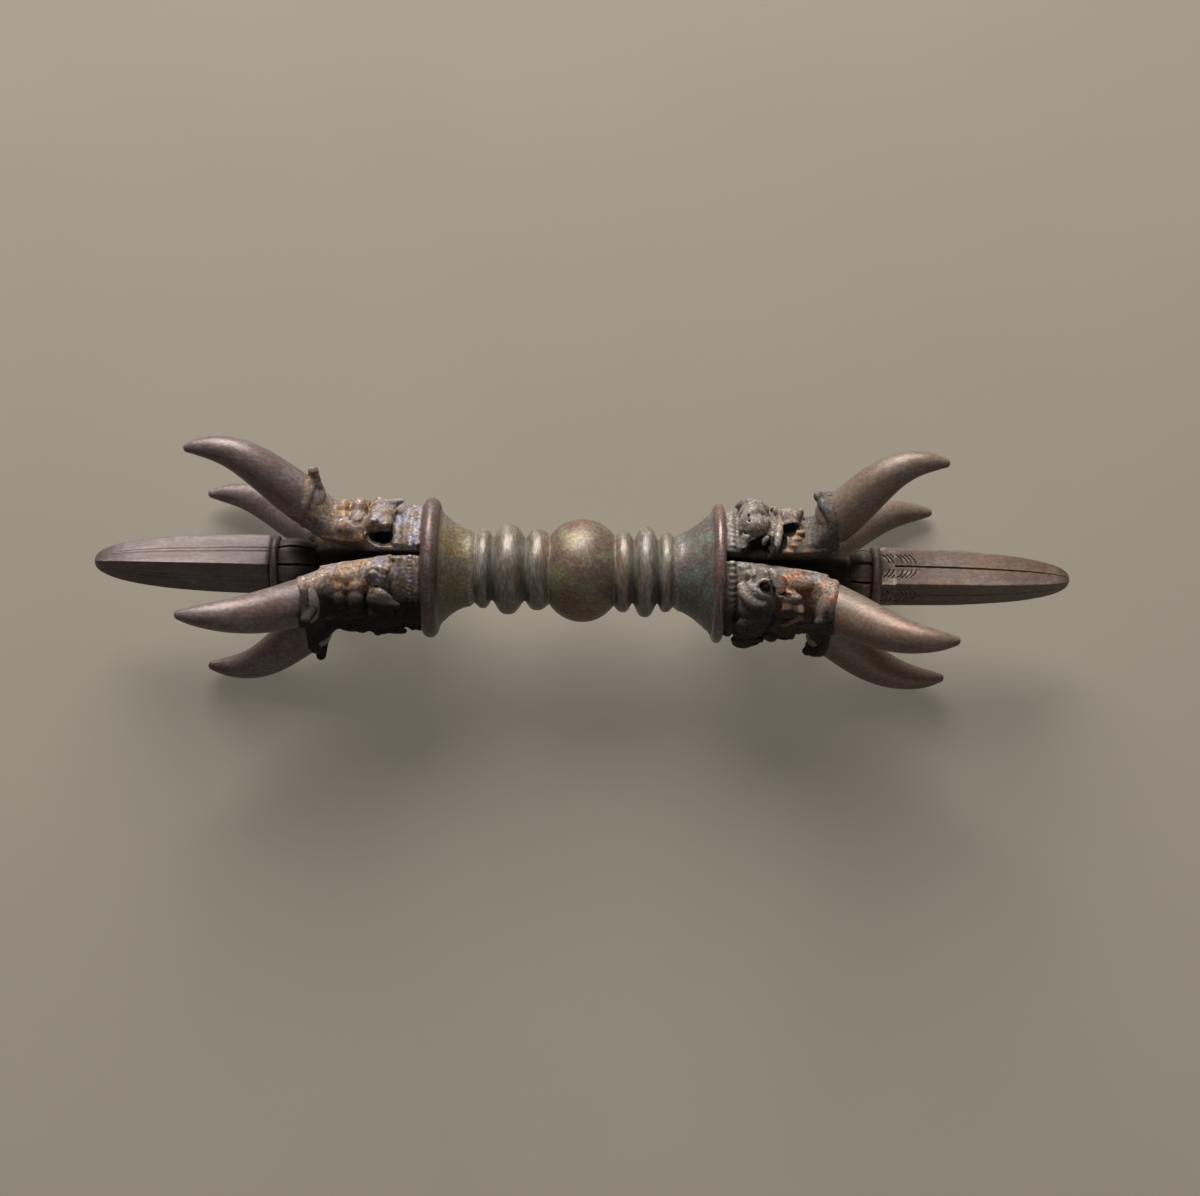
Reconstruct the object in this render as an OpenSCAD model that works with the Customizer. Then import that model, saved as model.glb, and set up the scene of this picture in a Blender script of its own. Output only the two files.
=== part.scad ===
// Five-pronged open ritual sceptre: a ball grip with a beast-headed cage of claws at each end.
// The grip runs along X through the origin at the middle of the ball, with Z up.
// Four claws stand round a four-edged blade at each end, and the lower two of each end carry it.

/* [Overall] */
// Length from blade tip to blade tip
overall_len = 220; // [210:1:236]

/* [Hub and spindle] */
// Radius of the hub ball at its middle
ball_r = 11.6; // [10.6:0.1:13]
// Half the length of the hub ball along the grip
ball_half = 7.2; // [6.4:0.1:8]
// Radius at the seams where ball, sleeves and bells meet
seam_r = 7.9; // [7.4:0.1:8.4]
// Radius of the spindle that threads the grip together
spindle_r = 2.4; // [2:0.1:2.7]
// How far the spindle reaches into each blade stem
spindle_reach = 14; // [12:0.5:18]
// Clearance on the radius of each tenon, pin and bore
fit = 0.05; // [0.02:0.01:0.1]

/* [Grip rings] */
// Radius in the grooves between the rings
waist_r = 7.1; // [6.6:0.1:7.6]
// Radius of the ring beside the ball
inner_ring_r = 9.2; // [8.6:0.1:10]
// Radius of the large ring
middle_ring_r = 10.2; // [9.6:0.1:11.2]
// Radius of the ring beside the bell
outer_ring_r = 9; // [8.6:0.1:9.8]
// Width of the left inner ring, from groove to groove
left_inner_ring_w = 5.6; // [4.6:0.1:6.4]
// Width of the left large ring
left_middle_ring_w = 7.4; // [6:0.1:8.4]
// Width of the left outer ring
left_outer_ring_w = 3.9; // [3.2:0.1:4.8]
// Width of the right inner ring
right_inner_ring_w = 4.3; // [3.6:0.1:5.4]
// Width of the right large ring
right_middle_ring_w = 5.6; // [4.8:0.1:6.8]
// Width of the right outer ring
right_outer_ring_w = 3.6; // [3:0.1:4.6]

/* [Bell collars] */
// Length of a bell from its neck to the middle of its rim
bell_len = 9.8; // [8.8:0.1:11]
// Radius of a bell beside its neck seam
bell_neck_r = 8.7; // [8.5:0.1:9.4]
// Radius of the rolled rim
rim_r = 15.8; // [15:0.1:17]
// Width of the left rim
left_rim_w = 4; // [3:0.1:5]
// Width of the right rim
right_rim_w = 2.6; // [2.2:0.1:4]

/* [Beast heads] */
// Length of a left head from the bell to its lip
left_head_len = 24.4; // [22:0.1:26]
// Length of a right head
right_head_len = 23.2; // [21:0.1:25]
// Outer radius of the four neck collars together
collar_r = 14.3; // [13.6:0.1:14.9]
// Half width of a head at its neck
neck_half_w = 8.8; // [8:0.1:9.4]
// Gap between neighbouring heads at the neck
head_gap = 1.2; // [0.8:0.1:2]
// Gap between a head and the blade stem
stem_gap = 0.8; // [0.5:0.1:1.4]
// Height of a left head's crest behind the brow
left_crest_h = 3.2; // [1:0.1:3.6]
// Height of a right head's crest
right_crest_h = 4.1; // [2:0.1:4.6]
// Height of the eyes
eye_h = 1.3; // [0.5:0.1:1.8]
// Height of the snout
snout_h = 1.5; // [0.5:0.1:2.2]
// Depth of the saddle behind a right head's knob
saddle_h = 4.2; // [1:0.1:4.4]
// Height of the knob on a left head's upper lip
left_knob_h = 4.6; // [2:0.1:5]
// Height of the knob on a right head's upper lip
right_knob_h = 4.3; // [1.5:0.1:4.8]
// Radius of the round tenon that holds a head in its bell
head_tenon_r = 2.2; // [1.8:0.1:2.6]
// Length of that tenon
head_tenon_len = 4; // [3:0.1:4.6]

/* [Claws] */
// Radius from the axis to the middle of a left mouth
left_lip_r = 15.4; // [14:0.1:16.5]
// Radius from the axis to the middle of a right mouth
right_lip_r = 13.3; // [13:0.1:15.5]
// Half thickness of a claw at the mouth
claw_half_h = 5.2; // [4.6:0.1:5.6]
// Half width of a claw at the mouth
claw_half_w = 5.3; // [4.6:0.1:5.8]
// Radius of a claw's blunt tip
claw_tip_r = 0.9; // [0.6:0.1:1.4]
// Length of a claw along the axis
claw_reach = 26.6; // [24:0.1:29]
// Rise of a left claw away from the axis
left_claw_rise = 13; // [11:0.1:15]
// Rise of a right claw
right_claw_rise = 16.6; // [14:0.1:17.5]
// Slope of a left claw as it leaves the mouth
left_claw_slope = 34; // [28:1:40]
// Slope of a right claw
right_claw_slope = 41; // [34:1:44]
// Inward droop of the claw tips
claw_droop = 7; // [0:1:12]
// Thickness that the lip adds round a claw
lip_wall = 0.6; // [0.4:0.1:1]
// Radius of the round tenon that holds a claw in its mouth
claw_tenon_r = 2.8; // [2.2:0.1:3.2]
// Length of that tenon
claw_tenon_len = 3; // [2.4:0.1:3.4]

/* [Blades] */
// Radius of the stem that carries a blade
stem_r = 4; // [3.6:0.1:4.4]
// Length of the left stem from the bell to the blade
left_stem_len = 33.8; // [32:0.1:36]
// Length of the right stem
right_stem_len = 38.2; // [35:0.1:40]
// Radius from the axis to a blade's edges at its root
blade_r = 6.5; // [6:0.1:7]
// Depth of the line cut down each face of a blade
blade_line = 0.4; // [0.2:0.1:0.6]
// Width of that line
line_w = 0.8; // [0.5:0.1:1.4]
// Turn of the left blade about the axis
left_blade_turn = 15; // [0:1:45]
// Turn of the right blade
right_blade_turn = 30; // [0:1:45]
// Radius of the pin through stem and spindle
pin_r = 0.9; // [0.6:0.1:1.1]
// Distance of that pin from the bell
pin_place = 9; // [7:0.5:10.5]

/* [Ferrules] */
// Radius of the ring at a blade's root
ferrule_r = 7.1; // [6.8:0.1:7.6]
// Width of that ring
ferrule_w = 4.2; // [3:0.1:5.5]
// Radius of the petalled cup behind the ring
cup_r = 6; // [5.4:0.1:6.5]
// Length of the petalled cup
cup_len = 5.6; // [4:0.1:7]
// Number of petals on the cup
petals = 8; // [6:1:10]

/* [Hidden] */
$fn = 64;

ends = [0, 1];
end_name = ["left", "right"];
spots = [0, 1, 2, 3];
spot_name = ["top_front", "top_back", "bottom_back", "bottom_front"];
spot_turn = [45, -45, -135, 135];

NODES = concat(
    ["spindle", "hub_ball"],
    [for (e = ends) str(end_name[e], "_ring_sleeve")],
    [for (e = ends) str(end_name[e], "_bell_collar")],
    [for (e = ends) for (k = spots) str(end_name[e], "_head_", spot_name[k])],
    [for (e = ends) for (k = spots) str(end_name[e], "_claw_", spot_name[k])],
    [for (e = ends) str(end_name[e], "_blade")],
    [for (e = ends) str(end_name[e], "_blade_ferrule")],
    [for (e = ends) str(end_name[e], "_blade_pin")]
);
node = "all";

grip_bronze = [0.42, 0.40, 0.27];
ball_bronze = [0.40, 0.25, 0.20];
bell_bronze = [0.45, 0.44, 0.36];
head_bronze = [0.46, 0.36, 0.27];
claw_bronze = [0.48, 0.37, 0.37];
blade_bronze = [0.52, 0.46, 0.45];
iron = [0.25, 0.25, 0.26];

// Sizes that differ between the ends, left first
ring_w = [
    [left_inner_ring_w, left_middle_ring_w, left_outer_ring_w],
    [right_inner_ring_w, right_middle_ring_w, right_outer_ring_w]
];
ring_r = [inner_ring_r, middle_ring_r, outer_ring_r];
rim_w = [left_rim_w, right_rim_w];
head_len = [left_head_len, right_head_len];
lip_r = [left_lip_r, right_lip_r];
claw_rise = [left_claw_rise, right_claw_rise];
claw_slope = [left_claw_slope, right_claw_slope];
stem_len = [left_stem_len, right_stem_len];
blade_turn = [left_blade_turn, right_blade_turn];

// Places along the axis, outward from the middle of the ball
function bell_at(e) = ball_half + ring_w[e][0] + ring_w[e][1] + ring_w[e][2];
function face_at(e) = bell_at(e) + bell_len + rim_w[e] / 2;
function lip_at(e) = face_at(e) + head_len[e];
function blade_at(e) = face_at(e) + stem_len[e];

bore_r = spindle_r + fit;
bore_spare = 0.4;
tenon_spare = 0.2;
overlap = 1;

// Ring profile: a rounded crest between two grooves
ring_steps = 14;
ring_round = 1.15;
function wave(from_r, crest_r, to_r, t) =
    let (base = from_r + (to_r - from_r) * t)
    base + (crest_r - base) * pow(sin(180 * t), ring_round);

// Bell profile: a short neck fillet, a flare and a rolled rim
flare_steps = 12;
rim_steps = 16;
flare_curve = [1.8, 1.45];
neck_fillet = 1;
rim_stand = 0.65;
function flare_r(e) = rim_r - rim_stand * rim_w[e];
function bell_points(e) =
    let (
        start = bell_at(e),
        rim_start = start + bell_len - rim_w[e] / 2,
        flare_len = rim_start - start - neck_fillet
    )
    concat(
        [[bore_r, start], [seam_r, start]],
        [for (i = [0:flare_steps]) let (t = i / flare_steps)
            [bell_neck_r + (flare_r(e) - bell_neck_r) * pow(t, flare_curve[e]),
             start + neck_fillet + flare_len * t]],
        [for (i = [1:rim_steps]) let (a = 180 * i / rim_steps)
            [flare_r(e) + (rim_r - flare_r(e)) * sin(a),
             rim_start + rim_w[e] * (1 - cos(a)) / 2]],
        [[bore_r, face_at(e)]]
    );

// Tenon circle on the bell's face, just inside the middle of the heads' necks
tenon_inset = 0.6;
tenon_at_r = (stem_r + stem_gap + collar_r) / 2 - tenon_inset;

// Head form. Each section lies square to the axis; u runs from 0 at the bell to 1 at the lip.
head_rings = 30;
head_sides = 20;
top_curve = 5;
base_curve = 2;
side_curve = 1.3;
function head_outer(e, u) = collar_r + (lip_top(e) - collar_r) * pow(u, top_curve);
function head_inner(e, u) =
    stem_r + stem_gap + (lip_base(e) - stem_r - stem_gap) * pow(u, base_curve);
function head_half_w(u) =
    claw_half_w + lip_wall + (neck_half_w - claw_half_w - lip_wall) * pow(1 - u, side_curve);
function lip_half_h(e) = claw_half_h / cos(claw_slope[e]) + lip_wall;
function lip_top(e) = lip_r[e] + lip_half_h(e);
function lip_base(e) = lip_r[e] - lip_half_h(e);

// Raised and sunk features of each end's heads: place, angle from the outer ridge, height, length, spread
whole_turn = 1000;
band_h = 0.5;
dip_h = 0.8;
features = [
    [
        [0.16, 0, -dip_h, 0.022, whole_turn],
        [0.21, 0, band_h, 0.025, whole_turn],
        [0.3, 0, left_crest_h, 0.08, 34],
        [0.35, 72, eye_h, 0.07, 22],
        [0.35, -72, eye_h, 0.07, 22],
        [0.47, 0, -dip_h, 0.03, 60],
        [0.58, 0, snout_h, 0.06, 40],
        [0.71, 0, snout_h / 2, 0.04, 40],
        [0.83, 0, -dip_h, 0.06, 70],
        [0.955, 0, left_knob_h, 0.042, 16],
        [0.985, 0, band_h, 0.025, whole_turn]
    ],
    [
        [0.1, 0, -dip_h, 0.022, whole_turn],
        [0.155, 0, band_h, 0.03, whole_turn],
        [0.25, 0, right_crest_h, 0.085, 36],
        [0.36, 72, eye_h, 0.07, 22],
        [0.36, -72, eye_h, 0.07, 22],
        [0.44, 0, -dip_h, 0.03, 60],
        [0.58, 0, snout_h, 0.09, 40],
        [0.7, 0, snout_h / 2, 0.03, 30],
        [0.785, 0, -saddle_h, 0.048, 90],
        [0.867, 0, right_knob_h, 0.038, 18],
        [0.985, 0, band_h, 0.025, whole_turn]
    ]
];
function bell_curve(x) = exp(-x * x);
function turn_off(a, b) = abs((a - b + 540) % 360 - 180);
function feature_at(e, u, a) = [for (f = features[e])
    f[2] * bell_curve((u - f[0]) / f[3]) * bell_curve(turn_off(a, f[1]) / f[4])];
function total(list, i = 0) = i == len(list) ? 0 : list[i] + total(list, i + 1);

// A neighbour stands a quarter turn away, so a section stays inside its own quadrant
function in_quadrant(y, z) = sign(y) * min(abs(y), z - head_gap / sqrt(2));
function head_section(e, u) =
    let (
        top = head_outer(e, u),
        base = head_inner(e, u),
        mid = (top + base) / 2,
        half_h = (top - base) / 2,
        half_w = head_half_w(u)
    )
    [for (i = [0:head_sides - 1])
        let (
            a = 360 * i / head_sides,
            more = total(feature_at(e, u, a)),
            y = (half_w + more) * sin(a),
            z = mid + (half_h + more) * cos(a)
        )
        [face_at(e) + u * head_len[e], in_quadrant(y, z), z]];

// Claw form: a curve from the mouth to the tip, with round sections that thin towards the tip
claw_rings = 13;
claw_sides = 14;
claw_root_pull = 11;
claw_tip_pull = 12.5;
claw_square = 0.3;
cap_turns = [30, 60, 82];
function along(a) = [cos(a), 0, sin(a)];
function across(a) = [-sin(a), 0, cos(a)];
// No two claws are cast alike: how far each tip strays outward, sideways and in its rise
claw_stray = [
    [[0.6, 3.1, 0], [1.3, 0.6, 0.9], [1.4, -2.4, 0.6], [-0.8, -1, 0]],
    [[0, 1.4, 0], [-1.2, 0, -0.4], [0.8, -0.5, 0.3], [2.6, -0.8, -2.2]]
];
function claw_curve(e, k) =
    let (
        root = [lip_at(e), 0, lip_r[e]],
        tip = root + [claw_reach - claw_tip_r, 0, claw_rise[e]] + claw_stray[e][k]
    )
    [root, root + claw_root_pull * along(claw_slope[e]), tip - claw_tip_pull * along(-claw_droop), tip];
function on_curve(p, t) =
    pow(1 - t, 3) * p[0] + 3 * t * pow(1 - t, 2) * p[1] + 3 * t * t * (1 - t) * p[2] + pow(t, 3) * p[3];
function slope_on(p, t) =
    let (d = pow(1 - t, 2) * (p[1] - p[0]) + 2 * t * (1 - t) * (p[2] - p[1]) + t * t * (p[3] - p[2]))
    atan2(d[2], d[0]);
claw_fall = 1.7;
claw_full = 0.75;
function thinning(t) = pow(1 - pow(t, claw_fall), claw_full);
function oval(c, a, half_h, half_w) = [for (i = [0:claw_sides - 1])
    let (q = 360 * i / claw_sides)
    c + half_h * cos(q) * across(a) + [0, half_w * sin(q), 0]];
function claw_section(e, k, t) =
    let (
        p = claw_curve(e, k),
        slope = slope_on(p, t),
        lean = slope * min(1, t / claw_square),
        half_h = claw_tip_r + (claw_half_h - claw_tip_r) * thinning(t),
        half_w = claw_tip_r + (claw_half_w - claw_tip_r) * thinning(t)
    )
    oval(on_curve(p, t), lean, half_h / cos(slope - lean), half_w);
function claw_cap(e, k, a) =
    let (tip = claw_curve(e, k)[3])
    oval(tip + claw_tip_r * sin(a) * along(-claw_droop), -claw_droop,
         claw_tip_r * cos(a), claw_tip_r * cos(a));

// Blade form: a square on edge that rounds over to a blunt point, with a line cut down each face
blade_steps = 15;
blade_crowd = 1.6;
blade_point = 2.2;
blade_full = 0.4;
line_end = 0.12;
function blade_len(e) = overall_len / 2 - blade_at(e);
function blade_half(u) = blade_r / sqrt(2) * pow(1 - pow(1 - u, blade_point), blade_full);
function blade_edge(e, out) = [for (i = [0:blade_steps - 1])
    let (u = pow(1 - i / blade_steps, blade_crowd))
    [overall_len / 2 - u * blade_len(e), blade_half(u) + out]];
function backwards(list) = [for (i = [len(list) - 1:-1:0]) list[i]];
function across_axis(list) = [for (p = list) [p[0], -p[1]]];

// Ferrule form: a petalled cup that swells from the stem, and a rounded ring
cup_steps = 10;
cup_foot = 0.8;
cup_turn = 150;
petal_line = 0.8;

// Skin over a stack of closed sections, each with the same number of points
module skin(sections) {
    n = len(sections[0]);
    rows = len(sections);
    points = [for (s = sections) for (p = s) p];
    sides = [for (i = [0:rows - 2]) for (j = [0:n - 1])
        let (a = i * n + j, b = i * n + (j + 1) % n)
        each [[a, b, b + n], [a, b + n, a + n]]];
    start = [[for (j = [0:n - 1]) n - 1 - j]];
    end = [[for (j = [0:n - 1]) (rows - 1) * n + j]];
    polyhedron(points, concat(start, sides, end));
}

module turned(points) rotate([0, 90, 0]) rotate_extrude() polygon(points);

module rod(from, to, r) translate([from, 0, 0]) rotate([0, 90, 0]) cylinder(h = to - from, r = r);

module at_end(e) mirror([e == 0 ? 1 : 0, 0, 0]) children();

module at_spot(e, k) at_end(e) rotate([spot_turn[k], 0, 0]) children();

module pin_hole(e, r, half_len) at_end(e) translate([face_at(e) + pin_place, 0, 0])
    rotate([90, 0, 0]) cylinder(h = 2 * half_len, r = r, center = true);

module spindle() color(iron) difference() {
    rod(-face_at(0) - spindle_reach, face_at(1) + spindle_reach, spindle_r);
    for (e = ends) pin_hole(e, pin_r + fit, spindle_r + overlap);
}

module hub_ball() {
    sag = ball_r - seam_r;
    arc_r = (ball_half * ball_half + sag * sag) / (2 * sag);
    color(ball_bronze) rotate([0, 90, 0]) rotate_extrude() intersection() {
        translate([ball_r - arc_r, 0]) circle(r = arc_r);
        translate([bore_r, -ball_half]) square([ball_r, 2 * ball_half]);
    }
}

module ring_sleeve(e) {
    w = ring_w[e];
    start = [ball_half, ball_half + w[0], ball_half + w[0] + w[1]];
    low = [seam_r, waist_r, waist_r, seam_r];
    crests = [for (i = [0:2]) for (j = [0:ring_steps - 1])
        let (t = j / ring_steps)
        [wave(low[i], ring_r[i], low[i + 1], t), start[i] + w[i] * t]];
    color(grip_bronze) at_end(e) turned(concat(
        [[bore_r, ball_half]], crests, [[seam_r, bell_at(e)], [bore_r, bell_at(e)]]
    ));
}

module bell_collar(e) color(bell_bronze) difference() {
    at_end(e) turned(bell_points(e));
    for (k = spots) at_spot(e, k) translate([0, 0, tenon_at_r])
        rod(face_at(e) - head_tenon_len - tenon_spare, face_at(e) + overlap, head_tenon_r + fit);
}

module head(e, k) color(head_bronze) at_spot(e, k) difference() {
    union() {
        skin([for (i = [0:head_rings]) head_section(e, i / head_rings)]);
        translate([0, 0, tenon_at_r])
            rod(face_at(e) - head_tenon_len, face_at(e) + overlap, head_tenon_r);
    }
    translate([0, 0, lip_r[e]])
        rod(lip_at(e) - claw_tenon_len - tenon_spare, lip_at(e) + overlap, claw_tenon_r + fit);
}

module claw(e, k) color(claw_bronze) at_spot(e, k) {
    skin(concat(
        [for (i = [0:claw_rings]) claw_section(e, k, i / claw_rings)],
        [for (a = cap_turns) claw_cap(e, k, a)]
    ));
    translate([0, 0, lip_r[e]]) rod(lip_at(e) - claw_tenon_len, lip_at(e) + overlap, claw_tenon_r);
}

module blade_faces(e) linear_extrude(height = 2 * blade_r, center = true)
    polygon(concat(blade_edge(e, 0), [[overall_len / 2, 0]], backwards(across_axis(blade_edge(e, 0)))));

module blade_cut(e) {
    depth = [for (p = blade_edge(e, -blade_line)) if (overall_len / 2 - p[0] > line_end * blade_len(e)) p];
    open = [for (p = blade_edge(e, overlap)) if (overall_len / 2 - p[0] > line_end * blade_len(e)) p];
    linear_extrude(height = line_w, center = true) polygon(concat(depth, backwards(open)));
}

module blade(e) color(blade_bronze) difference() {
    at_end(e) {
        rotate([blade_turn[e] + 45, 0, 0]) difference() {
            intersection() {
                blade_faces(e);
                rotate([90, 0, 0]) blade_faces(e);
            }
            for (q = [0, 90, 180, 270]) rotate([q, 0, 0]) blade_cut(e);
        }
        rod(face_at(e), blade_at(e) + overlap, stem_r);
    }
    at_end(e) rod(face_at(e) - overlap, face_at(e) + spindle_reach + bore_spare, bore_r);
    pin_hole(e, pin_r + fit, stem_r + overlap);
}

module blade_ferrule(e) {
    end = blade_at(e);
    ring_start = end - ferrule_w;
    cup_start = ring_start - cup_len;
    seat_r = stem_r + fit;
    cup = [for (i = [0:cup_steps]) let (t = i / cup_steps)
        [seat_r + cup_foot + (cup_r - seat_r - cup_foot) * sin(cup_turn * t), cup_start + cup_len * t]];
    ring = [for (i = [1:cup_steps - 1]) let (a = 180 * i / cup_steps)
        [cup_r + (ferrule_r - cup_r) * sqrt(sin(a)), ring_start + ferrule_w * (1 - cos(a)) / 2]];
    color(blade_bronze) at_end(e) difference() {
        turned(concat([[seat_r, cup_start]], cup, ring, [[cup_r, end], [seat_r, end]]));
        for (i = [0:petals - 1]) rotate([360 * (i + 0.5) / petals, 0, 0])
            translate([0, 0, cup_r + petal_line / 2])
                rod(cup_start - overlap, ring_start - petal_line / 2, petal_line);
    }
}

module blade_pin(e) color(iron) pin_hole(e, pin_r, stem_r - fit);

function shown(name) = node == "all" || node == name;

if (shown("spindle")) spindle();
if (shown("hub_ball")) hub_ball();
for (e = ends) {
    if (shown(str(end_name[e], "_ring_sleeve"))) ring_sleeve(e);
    if (shown(str(end_name[e], "_bell_collar"))) bell_collar(e);
    if (shown(str(end_name[e], "_blade"))) blade(e);
    if (shown(str(end_name[e], "_blade_ferrule"))) blade_ferrule(e);
    if (shown(str(end_name[e], "_blade_pin"))) blade_pin(e);
    for (k = spots) {
        if (shown(str(end_name[e], "_head_", spot_name[k]))) head(e, k);
        if (shown(str(end_name[e], "_claw_", spot_name[k]))) claw(e, k);
    }
}
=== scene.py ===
import bpy
from math import asin, cos, pi, radians, sin, sqrt
from mathutils import Matrix, Vector


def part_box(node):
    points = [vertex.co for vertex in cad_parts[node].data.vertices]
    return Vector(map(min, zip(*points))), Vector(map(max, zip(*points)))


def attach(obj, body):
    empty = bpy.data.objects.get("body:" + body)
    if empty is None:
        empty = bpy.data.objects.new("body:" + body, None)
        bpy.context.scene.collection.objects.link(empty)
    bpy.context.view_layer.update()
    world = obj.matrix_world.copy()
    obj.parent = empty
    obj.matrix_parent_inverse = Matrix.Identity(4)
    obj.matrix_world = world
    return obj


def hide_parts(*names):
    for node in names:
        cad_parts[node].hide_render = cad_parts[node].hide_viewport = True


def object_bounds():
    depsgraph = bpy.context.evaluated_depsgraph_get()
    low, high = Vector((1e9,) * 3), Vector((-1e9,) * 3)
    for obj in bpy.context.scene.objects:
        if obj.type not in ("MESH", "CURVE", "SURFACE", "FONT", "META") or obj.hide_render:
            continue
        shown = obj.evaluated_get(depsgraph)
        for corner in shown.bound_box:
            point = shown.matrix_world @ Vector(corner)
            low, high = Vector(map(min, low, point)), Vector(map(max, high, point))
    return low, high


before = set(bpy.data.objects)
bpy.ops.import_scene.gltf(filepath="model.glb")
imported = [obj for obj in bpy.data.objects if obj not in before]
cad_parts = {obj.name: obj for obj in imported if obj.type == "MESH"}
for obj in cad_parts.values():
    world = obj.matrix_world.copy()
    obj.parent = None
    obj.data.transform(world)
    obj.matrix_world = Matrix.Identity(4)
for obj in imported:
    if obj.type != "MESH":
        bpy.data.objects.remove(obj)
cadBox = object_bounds()
print("frame loaded:", len(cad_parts), "solids")

mm = 0.001
ends = {"left": -1, "right": 1}
spots = {"top_front": 45, "top_back": -45, "bottom_back": -135, "bottom_front": 135}


# Shader nodes

def newGroup(name, inputs, outputs):
    group = bpy.data.node_groups.new(name, "ShaderNodeTree")
    for socket, kind, value in inputs:
        made = group.interface.new_socket(socket, in_out="INPUT", socket_type=kind)
        made.default_value = value
    for socket, kind in outputs:
        group.interface.new_socket(socket, in_out="OUTPUT", socket_type=kind)
    return group, group.nodes.new("NodeGroupInput"), group.nodes.new("NodeGroupOutput")


def noiseNode(group, vector, scale, detail, roughness, distortion=0.0):
    noise = group.nodes.new("ShaderNodeTexNoise")
    noise.inputs["Detail"].default_value = detail
    noise.inputs["Roughness"].default_value = roughness
    noise.inputs["Distortion"].default_value = distortion
    group.links.new(vector, noise.inputs["Vector"])
    if isinstance(scale, (int, float)):
        noise.inputs["Scale"].default_value = scale
    else:
        group.links.new(scale, noise.inputs["Scale"])
    return noise.outputs["Fac"]


def rampNode(group, value, low, high):
    ramp = group.nodes.new("ShaderNodeMapRange")
    ramp.interpolation_type = "SMOOTHSTEP"
    ramp.inputs["From Min"].default_value = low
    ramp.inputs["From Max"].default_value = high
    group.links.new(value, ramp.inputs["Value"])
    return ramp.outputs["Result"]


def mathNode(group, operation, first, second, clamp=False):
    node = group.nodes.new("ShaderNodeMath")
    node.operation = operation
    node.use_clamp = clamp
    for socket, value in zip(node.inputs, (first, second)):
        if isinstance(value, (int, float)):
            socket.default_value = value
        else:
            group.links.new(value, socket)
    return node.outputs["Value"]


def vectorNode(group, operation, first, second):
    node = group.nodes.new("ShaderNodeVectorMath")
    node.operation = operation
    for socket, value in zip(node.inputs, (first, second)):
        if hasattr(value, "is_output"):
            group.links.new(value, socket)
        else:
            socket.default_value = value
    return node.outputs["Vector"]


def mixNode(group, amount, first, second, blend="MIX"):
    mix = group.nodes.new("ShaderNodeMix")
    mix.data_type = "RGBA"
    mix.blend_type = blend
    for socket, value in (("Factor_Float", amount), ("A_Color", first), ("B_Color", second)):
        target = next(s for s in mix.inputs if s.identifier == socket)
        if hasattr(value, "is_output"):
            group.links.new(value, target)
        else:
            target.default_value = value
    return next(s for s in mix.outputs if s.identifier == "Result_Color")


# Camera, floor and light

view = {
    "elevation": 75, "distance": 0.5414, "roll": 1.15, "lens": 72, "shiftX": 0.015, "shiftY": -0.0229,
    "sensor": 36, "nearest": 0.01,
}
floorLook = {
    "size": 6, "tone": (0.36, 0.32, 0.26), "uneven": 0.04, "grainScale": 14, "grainDetail": 4, "rough": 0.9,
    "lit": 0.55, "glow": 0.33, "bounce": 0.24,
}
lights = {
    "key": {"from": (-0.14, 0.835, 0.52), "away": 0.9, "size": 0.75, "power": 15.5, "tone": (1, 0.97, 0.92)},
    "fill": {"from": (0.35, -0.85, 0.4), "away": 1.2, "size": 0.9, "power": 0.8, "tone": (0.94, 0.97, 1)},
}
worldTone = {"light": (0.055, 0.053, 0.05, 1), "seen": (0.15, 0.137, 0.115, 1)}


def seenRays(group):
    rays = group.nodes.new("ShaderNodeLightPath")
    seen = rays.outputs["Is Camera Ray"]
    for kind in ("Is Glossy Ray", "Is Transmission Ray"):
        seen = mathNode(group, "MAXIMUM", seen, rays.outputs[kind])
    return seen


def floorPaper():
    material = bpy.data.materials.new("floor_paper")
    material.use_nodes = True
    group = material.node_tree
    shader = group.nodes["Principled BSDF"]
    shader.inputs["Roughness"].default_value = floorLook["rough"]
    coords = group.nodes.new("ShaderNodeTexCoord")
    paper = group.nodes.new("ShaderNodeTexNoise")
    paper.inputs["Scale"].default_value = floorLook["grainScale"]
    paper.inputs["Detail"].default_value = floorLook["grainDetail"]
    tint = group.nodes.new("ShaderNodeValToRGB")
    for element, share in zip(tint.color_ramp.elements, (1 - floorLook["uneven"], 1 + floorLook["uneven"])):
        element.color = (*(share * c for c in floorLook["tone"]), 1)
    group.links.new(coords.outputs["Object"], paper.inputs["Vector"])
    group.links.new(paper.outputs["Fac"], tint.inputs["Fac"])
    seen = seenRays(group)
    bounced = mixNode(group, floorLook["bounce"], (0, 0, 0, 1), tint.outputs["Color"])
    lit = mixNode(group, floorLook["lit"], (0, 0, 0, 1), tint.outputs["Color"])
    group.links.new(mixNode(group, seen, bounced, lit), shader.inputs["Base Color"])
    group.links.new(tint.outputs["Color"], shader.inputs["Emission Color"])
    glow = mathNode(group, "MULTIPLY", seen, floorLook["glow"])
    group.links.new(glow, shader.inputs["Emission Strength"])
    return material


def placeCamera():
    lift = radians(view["elevation"])
    roll = radians(view["roll"])
    toward = Vector((0, -cos(lift), sin(lift)))
    upright = Vector((0, sin(lift), cos(lift)))
    right = cos(roll) * Vector((1, 0, 0)) + sin(roll) * upright
    up = toward.cross(right)
    bpy.ops.object.camera_add()
    camera = bpy.context.object
    turned = Matrix((right, up, toward)).transposed().to_4x4()
    camera.matrix_world = Matrix.Translation(view["distance"] * toward) @ turned
    camera.data.lens = view["lens"]
    camera.data.sensor_width = view["sensor"]
    camera.data.sensor_fit = "HORIZONTAL"
    camera.data.shift_x = view["shiftX"]
    camera.data.shift_y = view["shiftY"]
    camera.data.clip_start = view["nearest"]
    bpy.context.scene.camera = camera


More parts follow.
